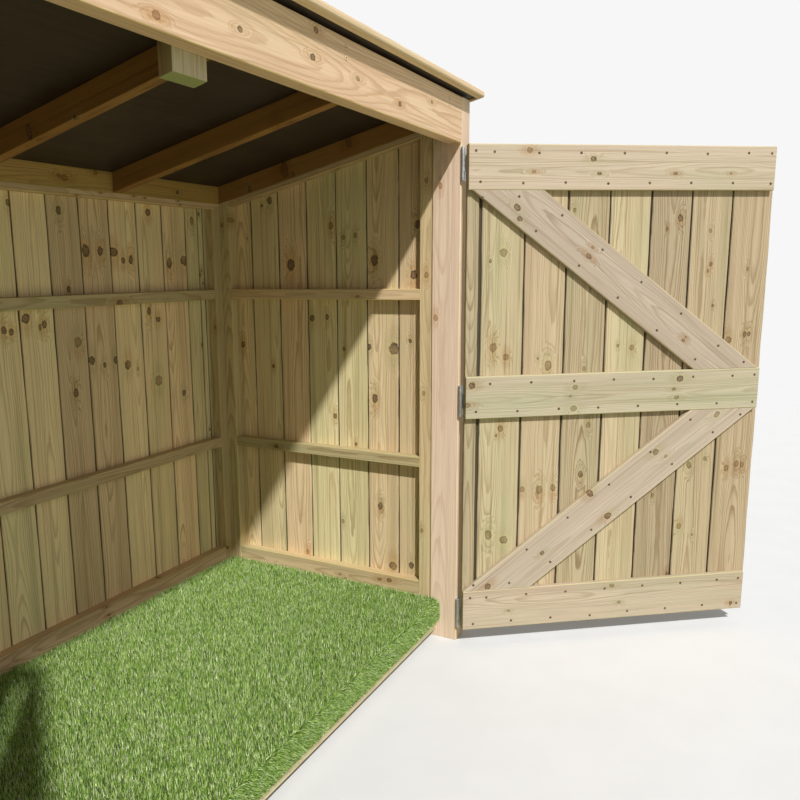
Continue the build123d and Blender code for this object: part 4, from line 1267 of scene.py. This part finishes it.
for side, sign, seed in (("right", 1, 300), ("left", -1, 340)):
    body = side + "_door"
    on_leaf = ("door_timber", body, swung(sign))
    seen_best = side == "right"
    meeting_edge = MEETING_EDGES[side]
    ledge_end = meeting_edge + LEDGE_SET_IN
    outer_edge = HINGE_EDGE - LEDGE_OVERLAP
    strip_inner = HINGE_EDGE - HINGE_STRIP
    inner = [strip_inner - STRIP_GAP]
    while inner[-1] - DOOR_BOARD_PITCH > meeting_edge + DOOR_JOINT:
        inner.append(inner[-1] - DOOR_BOARD_PITCH)
    joints = [inner[0] + DOOR_JOINT / 2, *inner[1:], meeting_edge - DOOR_JOINT / 2]
    plane_y = (door_face + boards_back) / 2
    boards = boarded(sorted(sign * place for place in joints), (0.0, plane_y, LEAF_FOOT), (1, 0, 0),
                     lambda y: LEAF_HEAD, (0.0, 0.0), seed, -TONGUE_OFF_MIDDLE, DOOR_JOINT, DOOR_BOARD_ARRIS,
                     door_knots if seen_best else (), DOOR_TONES if seen_best else ())
    strip_middle = sign * (strip_inner + outer_edge) / 2
    strip_ends = [(strip_middle, plane_y, height) for height in (LEAF_FOOT, LEAF_HEAD)]
    boards.append(timber(*strip_ends, (1, 0, 0),
                         rounded(outer_edge - strip_inner, BOARD_THICKNESS, DOOR_BOARD_ARRIS), seed + 9,
                         waney=WANEY_EDGE / 2, stations=BOARD_STATIONS, tone=STRIP_TONE, knots=[]))
    # the tongue behind the hinge strip's gap is marked as lying in a joint, so it is painted dark all over as
    # painted shade
    tongue_left, tongue_right = sorted((sign * (inner[0] - TONGUE), sign * (strip_inner + TONGUE)))
    tongue_y = plane_y - TONGUE_OFF_MIDDLE
    tongue_low = (tongue_left, tongue_y - TONGUE / 2, LEAF_FOOT)
    tongue_high = (tongue_right, tongue_y + TONGUE / 2, LEAF_HEAD)
    boards.append(square(tongue_low, tongue_high, "Z", seed + 10, END_EASE, tone=STRIP_TONE, knots=[],
                         hidden=IN_JOINT))
    fitted(side + "_door_panel", boards, door_board_pine, side + "_door_boards", *on_leaf)

    ledges = []
    near, far = sorted((sign * ledge_end, sign * HINGE_EDGE))
    for number, foot in enumerate(ledge_feet):
        low = (near, boards_back, foot)
        high = (far, ledges_back, foot + LEDGE_HEIGHT)
        knots = ledge_knots[number] if seen_best else None
        ledges.append(square(low, high, "X", seed + 11 + number, LEDGE_ARRIS, knots=knots,
                             tone=LEDGE_TONES[number]))
    fitted(side + "_ledges", ledges, door_ledge_pine, side + "_door_ledges", *on_leaf)

    brace_end = ledge_end + BRACE_SET_IN
    spans = ((HINGE_EDGE - UPPER_BRACE_SET_IN, ledge_feet[2], brace_end, ledge_feet[1] + LEDGE_HEIGHT),
             (outer_edge, ledge_feet[0] + LEDGE_HEIGHT, brace_end, ledge_feet[1]))
    braces = [brace(sign, *span, seed + 21 + number, knots=brace_knots[number] if seen_best else None,
                    tone=BRACE_TONES[number]) for number, span in enumerate(spans)]
    fitted(side + "_braces", braces, door_brace_pine, side + "_door_braces", *on_leaf)

    places = [place for foot in ledge_feet for place in ledge_screws(inner, ledge_end, foot)]
    places += [place for span in spans for place in brace_screws(inner[1:], *span)]
    scatter = np.random.default_rng(seed).normal(0.0, SCREW_SCATTER, (len(places), 2))
    driven(body, [(sign * x + dx, ledges_back, z + dz) for (x, z), (dx, dz) in zip(places, scatter)],
           (0, 1, 0), turned=swung(sign))


# Tee hinges: galvanised steel, the plates and straps stamped and rolled round a plain pin
# The zinc is dull and spangled, with a little white bloom
ZINC_GREY = (0.46, 0.48, 0.50)
ZINC_BRIGHT = (0.60, 0.62, 0.63)
ZINC_BLOOM = (0.72, 0.73, 0.72)
HINGE_PLATE = 0.003
HINGE_HEIGHTS = (LEAF_HEAD - 0.056, MIDDLE_LEDGE_FOOT + 0.055, LEAF_FOOT + 0.045)
STRAP_SCREWS = ((0.045, 0.013), (0.045, -0.013), (0.110, 0.010), (0.110, -0.010), (0.190, 0.0),
                (0.275, 0.0))
JAMB_SCREWS = ((0.022, 0.040), (0.022, 0.014), (0.022, -0.014), (0.022, -0.040))
SPANGLE_PACE = 160.0
BLOOM_PACE = 30.0
BLOOM_SHOWS = (0.5, 0.8, 0.0, 0.5)
BLOOM_ROUGHNESS = (0.3, 0.7, 0.36, 0.58)
ZINC_GRIT_PACE = 500.0
GRIT_DEPTH = 0.0002
zinc = Finish("zinc_plate", Metallic=0.85)
place = zinc.object_place()
spangle = zinc.node("ShaderNodeTexVoronoi", {"Vector": place, "Scale": SPANGLE_PACE})["Color"]
patch, _, _ = zinc.parts(spangle)
bloom = zinc.noise(place, BLOOM_PACE, detail=4.0)
colour = zinc.mix(patch, ZINC_GREY, ZINC_BRIGHT)
colour = zinc.mix(zinc.fade(bloom, *BLOOM_SHOWS), colour, ZINC_BLOOM)
zinc.paint(Base_Color=colour, Roughness=zinc.fade(bloom, *BLOOM_ROUGHNESS))
zinc.bump(zinc.noise(place, ZINC_GRIT_PACE), GRIT_DEPTH)
dressed(["right_hinge_jambs", "left_hinge_jambs", "right_door_hinge_straps", "left_door_hinge_straps"], zinc)
plate_face = door_face - HINGE_PLATE
for body, sign in (("right_door", 1), ("left_door", -1)):
    on_strap = [(sign * (PIN.x - along), plate_face, height + up)
                for height in HINGE_HEIGHTS for along, up in STRAP_SCREWS]
    driven(body, on_strap, (0, -1, 0), turned=swung(sign))
    on_jamb = [(sign * (PIN.x + along), plate_face, height + up)
               for height in HINGE_HEIGHTS for along, up in JAMB_SCREWS]
    driven("shelter", on_jamb, (0, -1, 0))


# Screws and nails: countersunk screws through the ledges, braces, header and hinges, nails in the wall boards
# Their heads have browned, but for the header's gilt ones; a dark ring round each is partly crushed wood and
# partly painted shade in the countersunk hole, and the driver's recess is painted shade
HEAD_SIDES = 10
HEAD_PROFILE = ((0.0047, -0.0008, 0.0), (0.0046, 0.0001, 0.0), (0.0038, 0.0002, 0.5),
                (0.0034, 0.0005, 0.5), (0.0018, 0.0005, 0.5), (0.0012, 0.0001, 1.0))
RIM_TO_METAL = (0.1, 0.45)
METAL_TO_RECESS = (0.55, 0.95)
GILT_FROM_SIZE = (1.05, 1.20)
HEAD_GRIT_PACE = 900.0
CRUSHED_WOOD_AND_HOLE_SHADE = (0.085, 0.048, 0.024)
HEAD_BRONZE = (0.180, 0.125, 0.070)
HEAD_RUSTY = (0.120, 0.060, 0.028)
HEAD_GILT = (0.88, 0.62, 0.32)
RECESS_SHADE = (0.015, 0.012, 0.010)

head_turns = [2 * math.pi * index / HEAD_SIDES for index in range(HEAD_SIDES)]
rings = [(radius * math.cos(turn), radius * math.sin(turn), height)
         for radius, height, _ in HEAD_PROFILE for turn in head_turns]
sides = [*joined_rings(HEAD_SIDES, len(HEAD_PROFILE)), tuple(range(len(rings) - HEAD_SIDES, len(rings)))]
head_mesh = plain_mesh("screw_head", rings, sides)
marked(head_mesh, "part", np.repeat([share for _, _, share in HEAD_PROFILE], HEAD_SIDES))
head = in_scene("screw_head", head_mesh)

heads = Growth("driven_heads", Head="Object", Finish="Material", Seed="Int")
facing = heads.node("GeometryNodeInputNamedAttribute", {"Name": "facing"}, data_type="FLOAT_VECTOR")[0]
size = heads.node("GeometryNodeInputNamedAttribute", {"Name": "size"}, data_type="FLOAT")[0]
aim = heads.node("FunctionNodeAlignRotationToVector", {"Vector": facing}, axis="Z")[0]
shape = heads.node("GeometryNodeObjectInfo", {"Object": heads.given["Head"]})["Geometry"]
standing = heads.strewn(heads.given["Geometry"], shape, aim, size)
rust = heads.drawn(0.0, 1.0, heads.given["Seed"])
heads.finished(heads.noted(standing, "shade", rust, "INSTANCE"))

steel = Finish("browned_screws", Roughness=0.45)
part = steel.attribute("part", "Fac")
metal = steel.mix(steel.attribute("shade", "Fac"), HEAD_BRONZE, HEAD_RUSTY)
metal = steel.mix(steel.fade(steel.attribute("size", "Fac"), *GILT_FROM_SIZE), metal, HEAD_GILT)
# painted shade: the rim is crushed wood darkened as the countersunk hole's shade, and the recess is near
# black as shade
colour = steel.mix(steel.fade(part, *RIM_TO_METAL), CRUSHED_WOOD_AND_HOLE_SHADE, metal)
colour = steel.mix(steel.fade(part, *METAL_TO_RECESS), colour, RECESS_SHADE)
steel.paint(Base_Color=colour)
steel.bump(steel.noise(steel.object_place(), HEAD_GRIT_PACE), GRIT_DEPTH)
for number, (body, driven_in) in enumerate(fixings.items()):
    places, facings, sizes = zip(*driven_in)
    points = plain_mesh(body + "_points", places, [])
    marked(points, "facing", facings)
    marked(points, "size", sizes)
    values = {"Head": head, "Finish": steel.material, "Seed": number}
    screws = made_by(heads.tree, points, body + "_screws", values)
    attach(screws, body)
bpy.data.objects.remove(head)


# Studio: a pale floor that runs out into a pale background, one lamp from the front left, and a soft fill
SUN_WAY = (1.0, 0.89, -1.42)
SUN_STRENGTH = 3.45
SUN_WIDTH = 2.0
FILL = 0.38
BACKGROUND = 0.93
FLOOR_REACH = 40.0
FLOOR_SIDES = 96
FLOOR_PALE = (0.76, 0.76, 0.755)
FLOOR_PALER = (0.78, 0.78, 0.775)
FLOOR_GLEAM = (0.40, 0.41, 0.27)
FLOOR_TO_BACKGROUND = (2.5, 12.0)
SPECKLE_PACE = 6.0
SPECKLE_SHOWS = (0.3, 0.7)

turns = [2 * math.pi * index / FLOOR_SIDES for index in range(FLOOR_SIDES)]
rim = [(FLOOR_REACH * math.cos(turn), FLOOR_REACH * math.sin(turn), 0.0) for turn in turns]
studio = Finish("studio_floor", Roughness=0.9)
speckle = studio.noise(studio.object_place(), SPECKLE_PACE, detail=4.0)
seen = studio.node("ShaderNodeLightPath")["Is Camera Ray"]
pale = studio.mix(studio.fade(speckle, *SPECKLE_SHOWS), FLOOR_PALE, FLOOR_PALER)
studio.paint(Base_Color=studio.mix(seen, FLOOR_GLEAM, pale))
glow = studio.node("ShaderNodeEmission", {"Color": opaque((BACKGROUND,) * 3), "Strength": 1.0})[0]
far_away = studio.times(seen, studio.fade(studio.length(studio.object_place()), *FLOOR_TO_BACKGROUND))
surface = studio.node("ShaderNodeMixShader", {0: far_away, 1: studio.shader.outputs[0], 2: glow})[0]
studio.feed(studio.tree.nodes["Material Output"].inputs["Surface"], surface)
floor = shown("studio_floor", plain_mesh("studio_floor", rim, [tuple(range(FLOOR_SIDES))]), studio)
floor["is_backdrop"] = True

world = bpy.data.worlds.new("studio")
bpy.context.scene.world = world
world.use_nodes = True
sky = NodeSheet(world.node_tree)
ray = sky.node("ShaderNodeLightPath")
mirrored = sky.math("MAXIMUM", ray["Is Glossy Ray"], ray["Is Transmission Ray"])
direct = sky.math("MAXIMUM", ray["Is Camera Ray"], mirrored)
background = world.node_tree.nodes["Background"]
background.inputs["Color"].default_value = (1.0, 1.0, 1.0, 1.0)
sky.feed(background.inputs["Strength"], sky.fade(direct, 0.0, 1.0, FILL, BACKGROUND))

lamp = bpy.data.lights.new("sun", "SUN")
lamp.energy = SUN_STRENGTH
lamp.angle = math.radians(SUN_WIDTH)
in_scene("sun", lamp).rotation_euler = Vector(SUN_WAY).to_track_quat("-Z", "Y").to_euler()


# Camera: held at chest height in front of the shelter's left half, looking to the right and a little down
# Its place, turn and focal length are those that lay the straight timbers over the photograph's
CAMERA_PLACE = (-1.3736, -1.4748, 1.2976)
CAMERA_YAW = 60.209
CAMERA_PITCH = -10.0345
CAMERA_ROLL = -0.7865
IMAGE_SIZE = 800
FOCAL_PIXELS = 775.85
CENTRE_PIXEL = (344.41, 410.01)
SENSOR = 36.0

yaw = math.radians(CAMERA_YAW)
pitch = math.radians(CAMERA_PITCH)
roll = math.radians(CAMERA_ROLL)
forward = Vector((math.sin(yaw) * math.cos(pitch), math.cos(yaw) * math.cos(pitch), math.sin(pitch)))
level = Vector((math.cos(yaw), -math.sin(yaw), 0.0))
upward = level.cross(forward)
right = math.cos(roll) * level + math.sin(roll) * upward
top = math.cos(roll) * upward - math.sin(roll) * level
lens = bpy.data.cameras.new("camera")
lens.sensor_width = SENSOR
lens.lens = SENSOR * FOCAL_PIXELS / IMAGE_SIZE
lens.shift_x = (IMAGE_SIZE / 2 - CENTRE_PIXEL[0]) / IMAGE_SIZE
lens.shift_y = (CENTRE_PIXEL[1] - IMAGE_SIZE / 2) / IMAGE_SIZE
camera = in_scene("camera", lens)
camera.matrix_world = Matrix((right, top, -forward)).transposed().to_4x4()
camera.location = CAMERA_PLACE
bpy.context.scene.camera = camera
bpy.context.scene.view_settings.view_transform = "Standard"

low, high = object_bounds()
